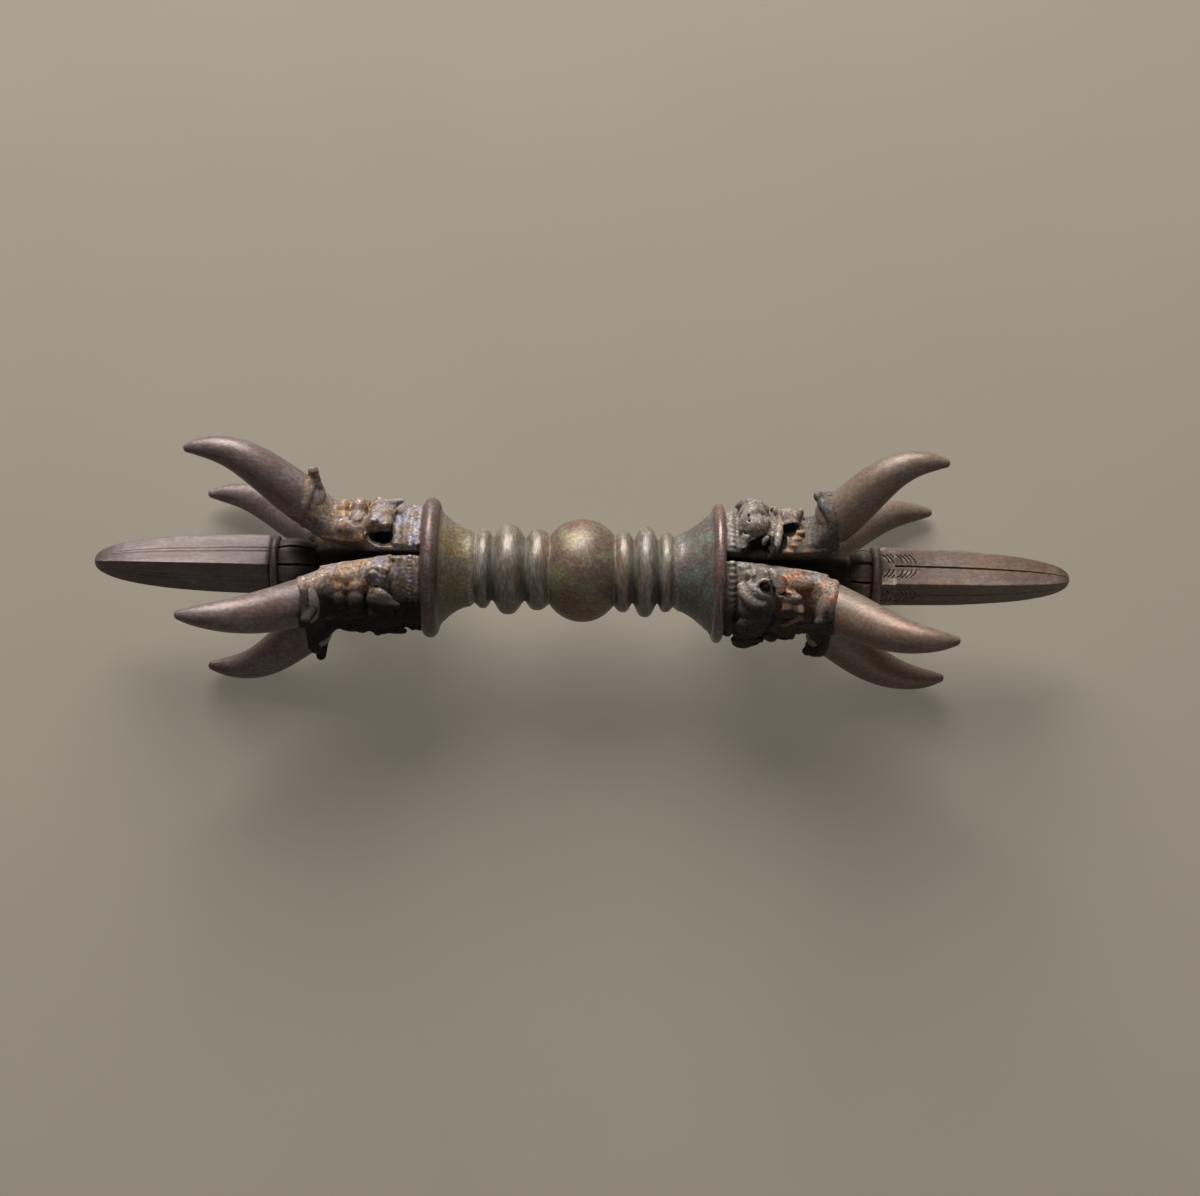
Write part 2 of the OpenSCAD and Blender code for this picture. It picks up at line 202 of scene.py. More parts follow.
def placeLights():
    for name, lamp in lights.items():
        aim = Vector(lamp["from"]).normalized()
        bpy.ops.object.light_add(type="AREA", location=lamp["away"] * aim)
        light = bpy.context.object
        light.name = name + "_lamp"
        light.rotation_euler = aim.to_track_quat("Z", "Y").to_euler()
        light.data.shape = "DISK"
        light.data.size = lamp["size"]
        light.data.energy = lamp["power"]
        light.data.color = lamp["tone"]
    world = bpy.data.worlds.new("studio")
    world.use_nodes = True
    sky = world.node_tree
    tone = mixNode(sky, seenRays(sky), worldTone["light"], worldTone["seen"])
    sky.links.new(tone, sky.nodes["Background"].inputs["Color"])
    bpy.context.scene.world = world


def layFloor():
    bpy.ops.mesh.primitive_plane_add(size=floorLook["size"], location=(0, 0, cadBox[0][2]))
    floor = bpy.context.object
    floor.name = "floor"
    bpy.ops.object.transform_apply(location=True, rotation=True, scale=True)
    floor.data.materials.append(floorPaper())


bpy.context.scene.view_settings.view_transform = "Standard"
placeCamera()
placeLights()
layFloor()
print("camera, lamps and floor placed")


# Shared modelling steps

meshing = {
    "ballSegments": 24, "ballRings": 14, "strandSmooth": 8, "strandRound": 3,
    "merge": 0.002 * mm, "waverDepth": 2,
}


def deselectAll():
    if bpy.context.object and bpy.context.object.mode != "OBJECT":
        bpy.ops.object.mode_set(mode="OBJECT")
    bpy.ops.object.select_all(action="DESELECT")


def selectOnly(*pieces):
    deselectAll()
    for piece in pieces:
        piece.select_set(True)
    bpy.context.view_layer.objects.active = pieces[0]


def settle(piece):
    selectOnly(piece)
    bpy.ops.object.transform_apply(location=True, rotation=True, scale=True)
    return piece


def tidySkin(piece):
    selectOnly(piece)
    bpy.ops.object.mode_set(mode="EDIT")
    bpy.ops.mesh.select_all(action="SELECT")
    bpy.ops.mesh.remove_doubles(threshold=meshing["merge"])
    bpy.ops.mesh.normals_make_consistent(inside=False)
    bpy.ops.object.mode_set(mode="OBJECT")
    return piece


def applyModifier(piece, kind, **settings):
    selectOnly(piece)
    modifier = piece.modifiers.new(kind.lower(), kind)
    for key, value in settings.items():
        setattr(modifier, key, value)
    bpy.ops.object.modifier_apply(modifier=modifier.name)
    return piece


def cutAway(piece, cutter):
    applyModifier(piece, "BOOLEAN", object=cutter, operation="DIFFERENCE", solver="EXACT")
    bpy.data.objects.remove(cutter)


def smoothShade(piece, angle=180):
    selectOnly(piece)
    if angle >= 180:
        bpy.ops.object.shade_smooth()
    else:
        bpy.ops.object.shade_smooth_by_angle(angle=radians(angle))
    return piece


def joinAll(name, pieces):
    selectOnly(*pieces)
    bpy.ops.object.join()
    joined = bpy.context.object
    joined.name = name
    return joined


def castWaver(piece, size, depth):
    texture = bpy.data.textures.new(piece.name + "_waver", "CLOUDS")
    texture.noise_scale = size
    texture.noise_depth = meshing["waverDepth"]
    applyModifier(piece, "DISPLACE", texture=texture, texture_coords="LOCAL", strength=depth, mid_level=0.5)
    return piece


def ballAt(place, size):
    deselectAll()
    bpy.ops.mesh.primitive_uv_sphere_add(
        segments=meshing["ballSegments"], ring_count=meshing["ballRings"], radius=1, location=place
    )
    ball = bpy.context.object
    ball.scale = size
    return settle(ball)


def strand(points):
    deselectAll()
    bpy.ops.curve.primitive_bezier_curve_add()
    curve = bpy.context.object
    curve.location = (0, 0, 0)
    line = curve.data.splines[0]
    line.bezier_points.add(len(points) - 2)
    for knot, (x, y, z, r) in zip(line.bezier_points, points):
        knot.co = (x, y, z)
        knot.handle_left_type = "AUTO"
        knot.handle_right_type = "AUTO"
        knot.radius = r / mm
    curve.data.resolution_u = meshing["strandSmooth"]
    curve.data.bevel_depth = mm
    curve.data.bevel_resolution = meshing["strandRound"]
    curve.data.use_fill_caps = True
    bpy.ops.object.convert(target="MESH")
    return bpy.context.object


def turnOnAxis(name, profile, steps):
    deselectAll()
    bpy.ops.mesh.primitive_plane_add(size=mm, location=(profile[0][0], 0, profile[0][1]))
    piece = bpy.context.object
    piece.name = name
    bpy.ops.object.transform_apply(location=True, rotation=True, scale=True)
    bpy.ops.object.mode_set(mode="EDIT")
    bpy.ops.mesh.merge(type="CENTER")
    for near, far in zip(profile, profile[1:] + profile[:1]):
        step = (far[0] - near[0], 0, far[1] - near[1])
        bpy.ops.mesh.extrude_region_move(TRANSFORM_OT_translate={"value": step})
    bpy.ops.mesh.select_all(action="SELECT")
    bpy.ops.mesh.spin(steps=steps, angle=2 * pi, center=(0, 0, 0), axis=(1, 0, 0))
    return tidySkin(piece)


def growAlong(name, stations, sides):
    place, lean, halfWide, halfHigh = stations[0]
    deselectAll()
    bpy.ops.mesh.primitive_circle_add(
        vertices=sides, radius=1, fill_type="NGON", location=place, rotation=(0, pi / 2, 0)
    )
    piece = bpy.context.object
    piece.name = name
    bpy.ops.object.transform_apply(location=True, rotation=True, scale=True)
    bpy.ops.object.mode_set(mode="EDIT")
    bpy.ops.transform.resize(value=(1, halfWide, halfHigh), center_override=place)
    bpy.ops.transform.rotate(value=lean, orient_axis="Y", center_override=place)
    for spot, tilt, wide, high in stations[1:]:
        step = Vector(spot) - Vector(place)
        bpy.ops.mesh.extrude_region_move(TRANSFORM_OT_translate={"value": step})
        bpy.ops.transform.rotate(value=-lean, orient_axis="Y", center_override=spot)
        bpy.ops.transform.resize(value=(1, wide / halfWide, high / halfHigh), center_override=spot)
        bpy.ops.transform.rotate(value=tilt, orient_axis="Y", center_override=spot)
        place, lean, halfWide, halfHigh = spot, tilt, wide, high
    return tidySkin(piece)


def copyTo(master, name, end, turn):
    selectOnly(master)
    bpy.ops.object.duplicate()
    piece = bpy.context.object
    piece.name = name
    piece.rotation_euler = (radians(turn), 0, 0)
    piece.scale = (ends[end], 1, 1)
    settle(piece)
    return tidySkin(piece)


def handOver(master, name, end, turn):
    piece = copyTo(master, name, end, turn)
    bpy.data.objects.remove(master)
    return piece


def finishPiece(piece, node, slot, *materials):
    piece.name = node + "_cast"
    piece.data.name = piece.name
    for material in materials:
        piece.data.materials.append(material)
    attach(piece, "root")
    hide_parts(node)


# Places along the axis, from the solids

def reach(node):
    low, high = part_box(node)
    return sorted((abs(low.x), abs(high.x)))


def sideways(node):
    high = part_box(node)[1]
    return max(high.y, high.z)


places = {}
for end in ends:
    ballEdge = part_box("hub_ball")[1].x
    neck, face = reach(end + "_bell_collar")
    lip = reach(end + "_head_top_front")[1]
    blade = reach(end + "_blade_ferrule")[1]
    tip = reach(end + "_blade")[1]
    places[end] = {"ball": ballEdge, "neck": neck, "face": face, "lip": lip, "blade": blade, "tip": tip}
    print(end, {key: round(value / mm, 1) for key, value in places[end].items()})


# Patinated bronze

grain = {
    "otherScale": 1.7, "speckScale": 1500, "gritScale": 3600, "scrapeScale": 1300, "drawn": (0.07, 1, 1),
    "broadNoise": (6, 0.62, 0.6), "otherNoise": (7, 0.65, 0.3), "speckNoise": (3, 0.6), "gritNoise": (2, 0.5),
    "scrapeNoise": (3, 0.55, 0.4),
    "edges": (0.505, 0.56), "dips": (0.495, 0.43), "warm": (0.47, 0.59), "cool": (0.46, 0.6),
    "patchy": (0.35, 0.7), "rubbedSpeck": (0.42, 0.6), "rubbedOther": (0.3, 0.55),
    "speck": (0.35, 0.7), "speckDark": (0.5, 0.5, 0.5, 1), "speckLight": (1.55, 1.52, 1.46, 1),
    "scrape": (0.54, 0.7), "scrapeDark": (0.9, 0.9, 0.9, 1), "scrapeLight": (1.6, 1.58, 1.55, 1),
    "leastWear": 0.35, "wearShine": 0.08, "wearMetal": 0.3, "recessRough": 0.3, "patchyRough": 0.16,
    "speckHeight": 0.6, "gritHeight": 0.4, "broadHeight": 0.7, "bumpDistance": 0.25 * mm,
}


def makePatina():
    group, given, result = newGroup(
        "aged_bronze",
        [
            ("Body", "NodeSocketColor", (0.10, 0.08, 0.06, 1)),
            ("Warm", "NodeSocketColor", (0.20, 0.10, 0.05, 1)),
            ("Cool", "NodeSocketColor", (0.12, 0.13, 0.11, 1)),
            ("Worn", "NodeSocketColor", (0.40, 0.33, 0.28, 1)),
            ("Recess", "NodeSocketColor", (0.02, 0.017, 0.015, 1)),
            ("Mottle", "NodeSocketFloat", 260.0),
            ("Speck", "NodeSocketFloat", 0.6),
            ("Scratch", "NodeSocketFloat", 0.0),
            ("Warm Amount", "NodeSocketFloat", 0.6),
            ("Cool Amount", "NodeSocketFloat", 0.5),
            ("Wear Amount", "NodeSocketFloat", 0.6),
            ("Recess Amount", "NodeSocketFloat", 0.7),
            ("Polish", "NodeSocketFloat", 0.36),
            ("Metal", "NodeSocketFloat", 0.4),
            ("Shift", "NodeSocketVector", (0, 0, 0)),
            ("Stretch", "NodeSocketVector", (1, 1, 1)),
        ],
        [
            ("Color", "NodeSocketColor"),
            ("Roughness", "NodeSocketFloat"),
            ("Metallic", "NodeSocketFloat"),
            ("Height", "NodeSocketFloat"),
        ],
    )
    coords = group.nodes.new("ShaderNodeTexCoord")
    moved = vectorNode(group, "ADD", coords.outputs["Object"], given.outputs["Shift"])
    place = vectorNode(group, "MULTIPLY", moved, given.outputs["Stretch"])
    drawn = vectorNode(group, "MULTIPLY", moved, grain["drawn"])
    broad = noiseNode(group, place, given.outputs["Mottle"], *grain["broadNoise"])
    otherScale = mathNode(group, "MULTIPLY", given.outputs["Mottle"], grain["otherScale"])
    other = noiseNode(group, place, otherScale, *grain["otherNoise"])
    speck = noiseNode(group, place, grain["speckScale"], *grain["speckNoise"])
    grit = noiseNode(group, place, grain["gritScale"], *grain["gritNoise"])
    scrape = noiseNode(group, drawn, grain["scrapeScale"], *grain["scrapeNoise"])
    geometry = group.nodes.new("ShaderNodeNewGeometry")
    edges = rampNode(group, geometry.outputs["Pointiness"], *grain["edges"])
    dips = rampNode(group, geometry.outputs["Pointiness"], *grain["dips"])
    warm = rampNode(group, broad, *grain["warm"])
    warmMask = mathNode(group, "MULTIPLY", warm, given.outputs["Warm Amount"])
    cool = rampNode(group, other, *grain["cool"])
    coolMask = mathNode(group, "MULTIPLY", cool, given.outputs["Cool Amount"])
    tone = mixNode(group, warmMask, given.outputs["Body"], given.outputs["Warm"])
    tone = mixNode(group, coolMask, tone, given.outputs["Cool"])
    dots = rampNode(group, speck, *grain["speck"])
    speckled = mixNode(group, dots, grain["speckDark"], grain["speckLight"])
    tone = mixNode(group, given.outputs["Speck"], tone, speckled, "MULTIPLY")
    strokes = rampNode(group, scrape, *grain["scrape"])
    scraped = mixNode(group, strokes, grain["scrapeDark"], grain["scrapeLight"])
    tone = mixNode(group, given.outputs["Scratch"], tone, scraped, "MULTIPLY")
    rubbed = rampNode(group, speck, *grain["rubbedSpeck"])
    rubbed = mathNode(group, "MULTIPLY", rubbed, rampNode(group, other, *grain["rubbedOther"]))
    wearMask = mathNode(group, "MULTIPLY", edges, mathNode(group, "ADD", grain["leastWear"], rubbed))
    wearMask = mathNode(group, "MULTIPLY", wearMask, given.outputs["Wear Amount"], True)
    tone = mixNode(group, wearMask, tone, given.outputs["Worn"])
    recessMask = mathNode(group, "MULTIPLY", dips, given.outputs["Recess Amount"], True)
    tone = mixNode(group, recessMask, tone, given.outputs["Recess"])
    patchy = mathNode(group, "MULTIPLY", rampNode(group, other, *grain["patchy"]), grain["patchyRough"])
    rough = mathNode(group, "ADD", given.outputs["Polish"], patchy)
    rough = mathNode(group, "ADD", rough, mathNode(group, "MULTIPLY", recessMask, grain["recessRough"]))
    shine = mathNode(group, "MULTIPLY", wearMask, grain["wearShine"])
    rough = mathNode(group, "SUBTRACT", rough, shine, True)
    bare = mathNode(group, "MULTIPLY", wearMask, grain["wearMetal"])
    metal = mathNode(group, "ADD", given.outputs["Metal"], bare, True)
    coarse = mathNode(group, "MULTIPLY", speck, grain["speckHeight"])
    fine = mathNode(group, "ADD", coarse, mathNode(group, "MULTIPLY", grit, grain["gritHeight"]))
    height = mathNode(group, "ADD", fine, mathNode(group, "MULTIPLY", broad, grain["broadHeight"]))
    group.links.new(tone, result.inputs["Color"])
    group.links.new(rough, result.inputs["Roughness"])
    group.links.new(metal, result.inputs["Metallic"])
    group.links.new(height, result.inputs["Height"])
    return group


patina = makePatina()


def bronze(name, looks, bump=0.35, specular=0.5):
    material = bpy.data.materials.new(name)
    material.use_nodes = True
    nodes = material.node_tree.nodes
    links = material.node_tree.links
    shader = nodes["Principled BSDF"]
    shader.inputs["Specular IOR Level"].default_value = specular
    aged = nodes.new("ShaderNodeGroup")
    aged.node_tree = patina
    for look, value in looks.items():
        socket = aged.inputs[look]
        socket.default_value = (*value, 1) if socket.type == "RGBA" else value
    relief = nodes.new("ShaderNodeBump")
    relief.inputs["Strength"].default_value = bump
    relief.inputs["Distance"].default_value = grain["bumpDistance"]
    links.new(aged.outputs["Color"], shader.inputs["Base Color"])
    links.new(aged.outputs["Roughness"], shader.inputs["Roughness"])
    links.new(aged.outputs["Metallic"], shader.inputs["Metallic"])
    links.new(aged.outputs["Height"], relief.inputs["Height"])
    links.new(relief.outputs["Normal"], shader.inputs["Normal"])
    return material


finishes = {
    "claw_left": bronze("left_claw_patina", {
        "Metal": 0.3, "Body": (0.16, 0.115, 0.108), "Warm": (0.20, 0.115, 0.09),
        "Cool": (0.23, 0.20, 0.21), "Worn": (0.50, 0.41, 0.37), "Mottle": 90.0, "Speck": 0.4,
        "Scratch": 0.4, "Warm Amount": 0.4, "Cool Amount": 0.5, "Wear Amount": 0.5, "Recess Amount": 0.4,
        "Polish": 0.37, "Stretch": (0.7, 1, 1),
    }, bump=0.2),
    "claw_right": bronze("right_claw_patina", {
        "Metal": 0.28, "Body": (0.205, 0.147, 0.118), "Warm": (0.25, 0.137, 0.094),
        "Cool": (0.235, 0.207, 0.18), "Worn": (0.50, 0.41, 0.37), "Mottle": 90.0, "Speck": 0.35,
        "Scratch": 0.3, "Warm Amount": 0.45, "Cool Amount": 0.4, "Wear Amount": 0.4, "Recess Amount": 0.4,
        "Polish": 0.38, "Stretch": (0.7, 1, 1),
    }, bump=0.2, specular=0.3),
    "blade_left": bronze("left_blade_patina", {
        "Metal": 0.4, "Body": (0.125, 0.095, 0.095), "Warm": (0.085, 0.058, 0.052),
        "Cool": (0.20, 0.165, 0.175), "Worn": (0.48, 0.42, 0.39), "Recess": (0.05, 0.04, 0.04),
        "Mottle": 60.0, "Speck": 0.3, "Scratch": 0.45, "Warm Amount": 0.6, "Cool Amount": 0.5,
        "Wear Amount": 0.3, "Recess Amount": 0.9, "Polish": 0.42, "Shift": (0.3, 0.1, 0.2),
        "Stretch": (0.6, 1, 1),
    }, bump=0.18),
    "blade_right": bronze("right_blade_patina", {
        "Metal": 0.35, "Body": (0.125, 0.085, 0.07), "Warm": (0.19, 0.09, 0.055),
        "Cool": (0.20, 0.175, 0.155), "Worn": (0.42, 0.34, 0.28), "Recess": (0.03, 0.012, 0.009),
        "Mottle": 120.0, "Speck": 0.4, "Scratch": 0.25, "Warm Amount": 0.45, "Cool Amount": 0.5,
        "Wear Amount": 0.45, "Recess Amount": 1.0, "Polish": 0.40, "Shift": (0.6, 0.3, 0.2),
        "Stretch": (0.6, 1, 1),
    }, bump=0.2),
    "head_left": bronze("left_head_patina", {
        "Metal": 0.12, "Body": (0.205, 0.155, 0.13), "Warm": (0.34, 0.19, 0.088),
        "Cool": (0.33, 0.33, 0.445), "Worn": (0.60, 0.51, 0.42), "Recess": (0.012, 0.009, 0.008),
        "Mottle": 230.0, "Speck": 0.8, "Wear Amount": 0.6, "Recess Amount": 1.0, "Polish": 0.47,
        "Shift": (0.1, 0.4, 0.7),
    }, bump=0.4, specular=0.3),
    "head_right": bronze("right_head_patina", {
        "Metal": 0.12, "Body": (0.225, 0.195, 0.168), "Warm": (0.32, 0.142, 0.074),
        "Cool": (0.21, 0.205, 0.25), "Worn": (0.58, 0.51, 0.44), "Recess": (0.012, 0.009, 0.008),
        "Mottle": 230.0, "Speck": 0.8, "Wear Amount": 0.6, "Recess Amount": 1.0, "Polish": 0.47,
        "Shift": (0.6, 0.1, 0.3),
    }, bump=0.4, specular=0.3),
    "grip": bronze("grip_patina", {
        "Metal": 0.28, "Body": (0.19, 0.152, 0.125), "Warm": (0.25, 0.17, 0.105),
        "Cool": (0.265, 0.265, 0.24), "Worn": (0.50, 0.475, 0.43), "Recess": (0.15, 0.165, 0.15),
        "Mottle": 200.0, "Speck": 0.5, "Scratch": 0.2, "Warm Amount": 0.55, "Cool Amount": 0.65,
        "Wear Amount": 0.6, "Recess Amount": 0.8, "Polish": 0.36, "Shift": (0.5, 0.2, 0.1),
        "Stretch": (1.5, 0.4, 0.4),
    }, bump=0.35),
    "ball": bronze("ball_patina", {
        "Metal": 0.32, "Body": (0.18, 0.13, 0.105), "Warm": (0.23, 0.105, 0.085),
        "Cool": (0.25, 0.245, 0.14), "Worn": (0.45, 0.40, 0.33), "Mottle": 120.0, "Speck": 0.5,
        "Scratch": 0.5, "Warm Amount": 0.6, "Cool Amount": 0.65, "Wear Amount": 0.4, "Recess Amount": 0.5,
        "Polish": 0.38, "Shift": (0.2, 0.6, 0.3),
    }, bump=0.3),
    "bell_left": bronze("left_bell_patina", {
        "Metal": 0.35, "Body": (0.18, 0.145, 0.105), "Warm": (0.29, 0.205, 0.09),
        "Cool": (0.22, 0.22, 0.165), "Worn": (0.44, 0.40, 0.32), "Recess": (0.07, 0.062, 0.048),
        "Mottle": 150.0, "Speck": 0.55, "Scratch": 0.3, "Warm Amount": 0.6, "Cool Amount": 0.5,
        "Wear Amount": 0.5, "Recess Amount": 0.7, "Polish": 0.40, "Shift": (0.7, 0.1, 0.4),
    }, bump=0.45),
    "bell_right": bronze("right_bell_patina", {
        "Metal": 0.35, "Body": (0.145, 0.13, 0.12), "Warm": (0.23, 0.15, 0.14),
        "Cool": (0.175, 0.215, 0.18), "Worn": (0.40, 0.38, 0.34), "Recess": (0.07, 0.075, 0.065),
        "Mottle": 140.0, "Speck": 0.5, "Scratch": 0.3, "Warm Amount": 0.5, "Cool Amount": 0.85,
        "Wear Amount": 0.5, "Recess Amount": 0.7, "Polish": 0.38, "Shift": (0.4, 0.8, 0.2),
    }, bump=0.35),
    "rim_left": bronze("left_rim_patina", {
        "Metal": 0.2, "Body": (0.088, 0.06, 0.054), "Warm": (0.17, 0.085, 0.055),
        "Cool": (0.13, 0.108, 0.12), "Worn": (0.50, 0.42, 0.40), "Mottle": 140.0, "Speck": 0.5,
        "Scratch": 0.3, "Warm Amount": 0.5, "Cool Amount": 0.6, "Wear Amount": 0.4, "Polish": 0.34,
        "Shift": (0.15, 0.5, 0.9),
    }, bump=0.3),
    "rim_right": bronze("right_rim_patina", {
        "Metal": 0.2, "Body": (0.14, 0.088, 0.078), "Warm": (0.22, 0.11, 0.088),
        "Cool": (0.18, 0.15, 0.15), "Worn": (0.55, 0.46, 0.42), "Mottle": 140.0, "Speck": 0.4,
        "Scratch": 0.3, "Warm Amount": 0.6, "Cool Amount": 0.5, "Wear Amount": 0.5, "Polish": 0.22,
        "Shift": (0.8, 0.2, 0.6),
    }, bump=0.25),
    "tooth": bronze("tooth_patina", {
        "Metal": 0.05, "Body": (0.22, 0.125, 0.07), "Warm": (0.25, 0.115, 0.055),
        "Cool": (0.29, 0.205, 0.14), "Worn": (0.40, 0.26, 0.15), "Mottle": 400.0, "Speck": 0.7,
        "Recess Amount": 1.0, "Polish": 0.5,
    }, bump=0.3),
    # Painted shade: a near-black material for the faces of the deepest hollows, where shade falls
    "hollowShade": bronze("painted_hollow_shade", {
        "Metal": 0.0, "Body": (0.016, 0.012, 0.01), "Warm": (0.03, 0.018, 0.013),
        "Cool": (0.022, 0.02, 0.02), "Worn": (0.06, 0.05, 0.045), "Mottle": 400.0, "Speck": 0.5,
        "Wear Amount": 0.3, "Polish": 0.6,
    }, bump=0.4, specular=0.2),
    "iron": bronze("spindle_iron", {
        "Metal": 0.6, "Body": (0.08, 0.08, 0.082), "Warm": (0.16, 0.08, 0.045),
        "Cool": (0.12, 0.12, 0.125), "Worn": (0.3, 0.3, 0.3), "Wear Amount": 0.4, "Recess Amount": 0.5,
    }, bump=0.3),
}
# Along a head the patina goes from the bell, at 0, to the lip, at 1
headZones = {
    "left": {
        "Warm Amount": [(0, 0.1), (0.36, 0.15), (0.46, 0.8), (0.7, 0.9), (0.8, 0.45), (1, 0.3)],
        # On the left heads the cool tint is kept high over the neck fold, at 0.13 to 0.2, as a painted
        # highlight;
        "Cool Amount": [
            # nearer the bell it is the collar's own blue-violet
            (0, 0.95), (0.13, 0.85), (0.2, 0.8), (0.25, 0.35), (0.36, 0.55), (0.43, 0.9), (0.52, 0.3),
            (1, 0.35),
        ],
    },
    "right": {
        "Warm Amount": [(0, 0.15), (0.44, 0.15), (0.52, 1.6), (0.8, 1.8), (0.87, 0.5), (0.94, 1.2), (1, 1.2)],
        "Cool Amount": [(0, 0.5), (0.4, 0.4), (0.48, 0.7), (0.6, 0.3), (0.8, 0.4), (0.88, 0.9), (1, 0.4)],
    },
}
# The rust thins out from the front heads to the back ones, and tints the body under it
rust = {"back": 4 * mm, "front": -6 * mm, "onBack": {"left": 0.9, "right": 0.12}, "under": 0.3}
# Painted shade, near-black and rougher: on the outer ridges of the front heads, on the edges of the back
# heads beside the gap between them, and on the stems and ferrules. The trunk entry only darkens the back
# heads towards the trunk. Each goes from where it starts to where it is at its most.
paintedShade = {
    "tone": (0.02, 0.016, 0.013, 1), "dull": 0.55,
    "ridge": {"left": (-8.2 * mm, -10.6 * mm, 0.92), "right": (-8 * mm, -12 * mm, 0.75)},
    "gap": {"left": (3.8 * mm, 1.6 * mm, 0.85), "right": (3.2 * mm, 1.2 * mm, 0.85)},
    "gapFrom": {"left": (0.42, 0.56, 1), "right": (-0.1, 0, 1)},
    "trunk": {"left": (0.7, 0.9, 0.2), "right": (0.7, 0.82, 0.5)},
    "stem": {"left": (3.5 * mm, 8 * mm, 0.85), "right": (7 * mm, 11 * mm, 0.85)},
}


def riseNode(group, value, low, high, most=1, least=0):
    rise = group.nodes.new("ShaderNodeMapRange")
    rise.inputs["From Min"].default_value = low
    rise.inputs["From Max"].default_value = high
    rise.inputs["To Min"].default_value = least
    rise.inputs["To Max"].default_value = most
    group.links.new(value, rise.inputs["Value"])
    return rise.outputs["Result"]


# Paints shade: mixes the patina towards the near-black painted shade tone, and roughens it, by the given
# amount
def shade(group, aged, amount):
    shader = group.nodes["Principled BSDF"]
    dull = mathNode(group, "MULTIPLY", amount, paintedShade["dull"])
    group.links.new(mathNode(group, "ADD", aged.outputs["Roughness"], dull, True), shader.inputs["Roughness"])
    tone = mixNode(group, amount, aged.outputs["Color"], paintedShade["tone"])
    group.links.new(tone, shader.inputs["Base Color"])


def zoneAxes(material):
    group = material.node_tree
    aged = next(n for n in group.nodes if n.type == "GROUP")
    coords = group.nodes.new("ShaderNodeTexCoord")
    axes = group.nodes.new("ShaderNodeSeparateXYZ")
    group.links.new(coords.outputs["Object"], axes.inputs["Vector"])
    outward = mathNode(group, "ABSOLUTE", axes.outputs["X"], 0)
    return group, aged, outward, axes.outputs["Y"]


def zoneBlade(end):
    group, aged, outward, _ = zoneAxes(finishes["blade_" + end])
    inward = mathNode(group, "SUBTRACT", places[end]["blade"], outward)
    # Painted shade on the stem and ferrule, growing from near the blade's root inward towards the heads
    shade(group, aged, riseNode(group, inward, *paintedShade["stem"][end]))


def zoneHead(end):
    group, aged, outward, back = zoneAxes(finishes["head_" + end])
    share = riseNode(group, outward, places[end]["face"], places[end]["lip"])
    rusty = riseNode(group, back, rust["back"], rust["front"], least=rust["onBack"][end])
    # Painted shade on the back heads beside the gap between them; the trunk part only darkens them towards
    # the trunk,
    beside = riseNode(group, back, *paintedShade["gap"][end])
    # and both stay on the back heads, behind the middle
    beside = mathNode(group, "MULTIPLY", beside, riseNode(group, share, *paintedShade["gapFrom"][end]))
    trunk = riseNode(group, share, *paintedShade["trunk"][end])
    behind = mathNode(group, "GREATER_THAN", back, 0)
    beside = mathNode(group, "MULTIPLY", behind, mathNode(group, "MAXIMUM", beside, trunk))
    # Painted shadow on the outer ridges of the front heads, near-black at its most
    ridge = riseNode(group, back, *paintedShade["ridge"][end])
    shade(group, aged, mathNode(group, "MAXIMUM", beside, ridge))
    for socket, stops in headZones[end].items():
        ramp = group.nodes.new("ShaderNodeValToRGB")
        for stop in stops[1:-1]:
            ramp.color_ramp.elements.new(stop[0])
        for element, (place, value) in zip(ramp.color_ramp.elements, stops):
            element.position = place
            element.color = (value, value, value, 1)
        group.links.new(share, ramp.inputs["Fac"])
        amount = ramp.outputs["Color"]
        if socket == "Warm Amount":
            amount = mathNode(group, "MULTIPLY", amount, rusty)
            under = mathNode(group, "MULTIPLY", amount, rust["under"], True)
            body = mixNode(group, under, *(tuple(aged.inputs[s].default_value) for s in ("Body", "Warm")))
            group.links.new(body, aged.inputs["Body"])
        group.links.new(amount, aged.inputs[socket])


for end in ends:
    zoneHead(end)
    zoneBlade(end)
for node in ("spindle", "left_blade_pin", "right_blade_pin"):
    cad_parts[node].data.materials.clear()
    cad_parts[node].data.materials.append(finishes["iron"])
print("patinas mixed:", len(finishes))


# Hub ball, ring sleeves and bell collars

grip = {
    "steps": 128, "ballKnots": 28, "ringKnots": 16, "bore": 2.45 * mm, "seam": 7.9 * mm,
    "waist": 7.1 * mm, "soft": 0.25, "fuller": 1.5,
    "rings": (9.2 * mm, 10.2 * mm, 9.0 * mm),
    "widths": {"left": (5.6, 7.4, 3.9), "right": (4.3, 5.6, 3.6)},
    "waver": 0.22 * mm, "waverSize": 7 * mm, "ballCrease": 40, "crease": 50,
}


def wave(fromR, crestR, toR, share):
    base = fromR + (toR - fromR) * share
    soft = grip["soft"]
    swell = (sqrt(sin(pi * share) ** 2 + soft ** 2) - soft) / (sqrt(1 + soft ** 2) - soft)
    return base + (crestR - base) * (1 - (1 - swell) ** grip["fuller"])


def makeBall():
    half = places["left"]["ball"]
    top = sideways("hub_ball")
    sag = top - grip["seam"]
    bow = (half ** 2 + sag ** 2) / (2 * sag)
    swing = asin(half / bow)
    count = grip["ballKnots"]
    turns = [swing * (2 * i / count - 1) for i in range(count + 1)]
    profile = [(-half, grip["bore"])]
    profile += [(bow * sin(a), top - bow + bow * cos(a)) for a in turns]
    profile += [(half, grip["bore"])]
    ball = castWaver(turnOnAxis("hub_ball", profile, grip["steps"]), grip["waverSize"], grip["waver"])
    finishPiece(smoothShade(ball, grip["ballCrease"]), "hub_ball", "ball_bronze", finishes["ball"])


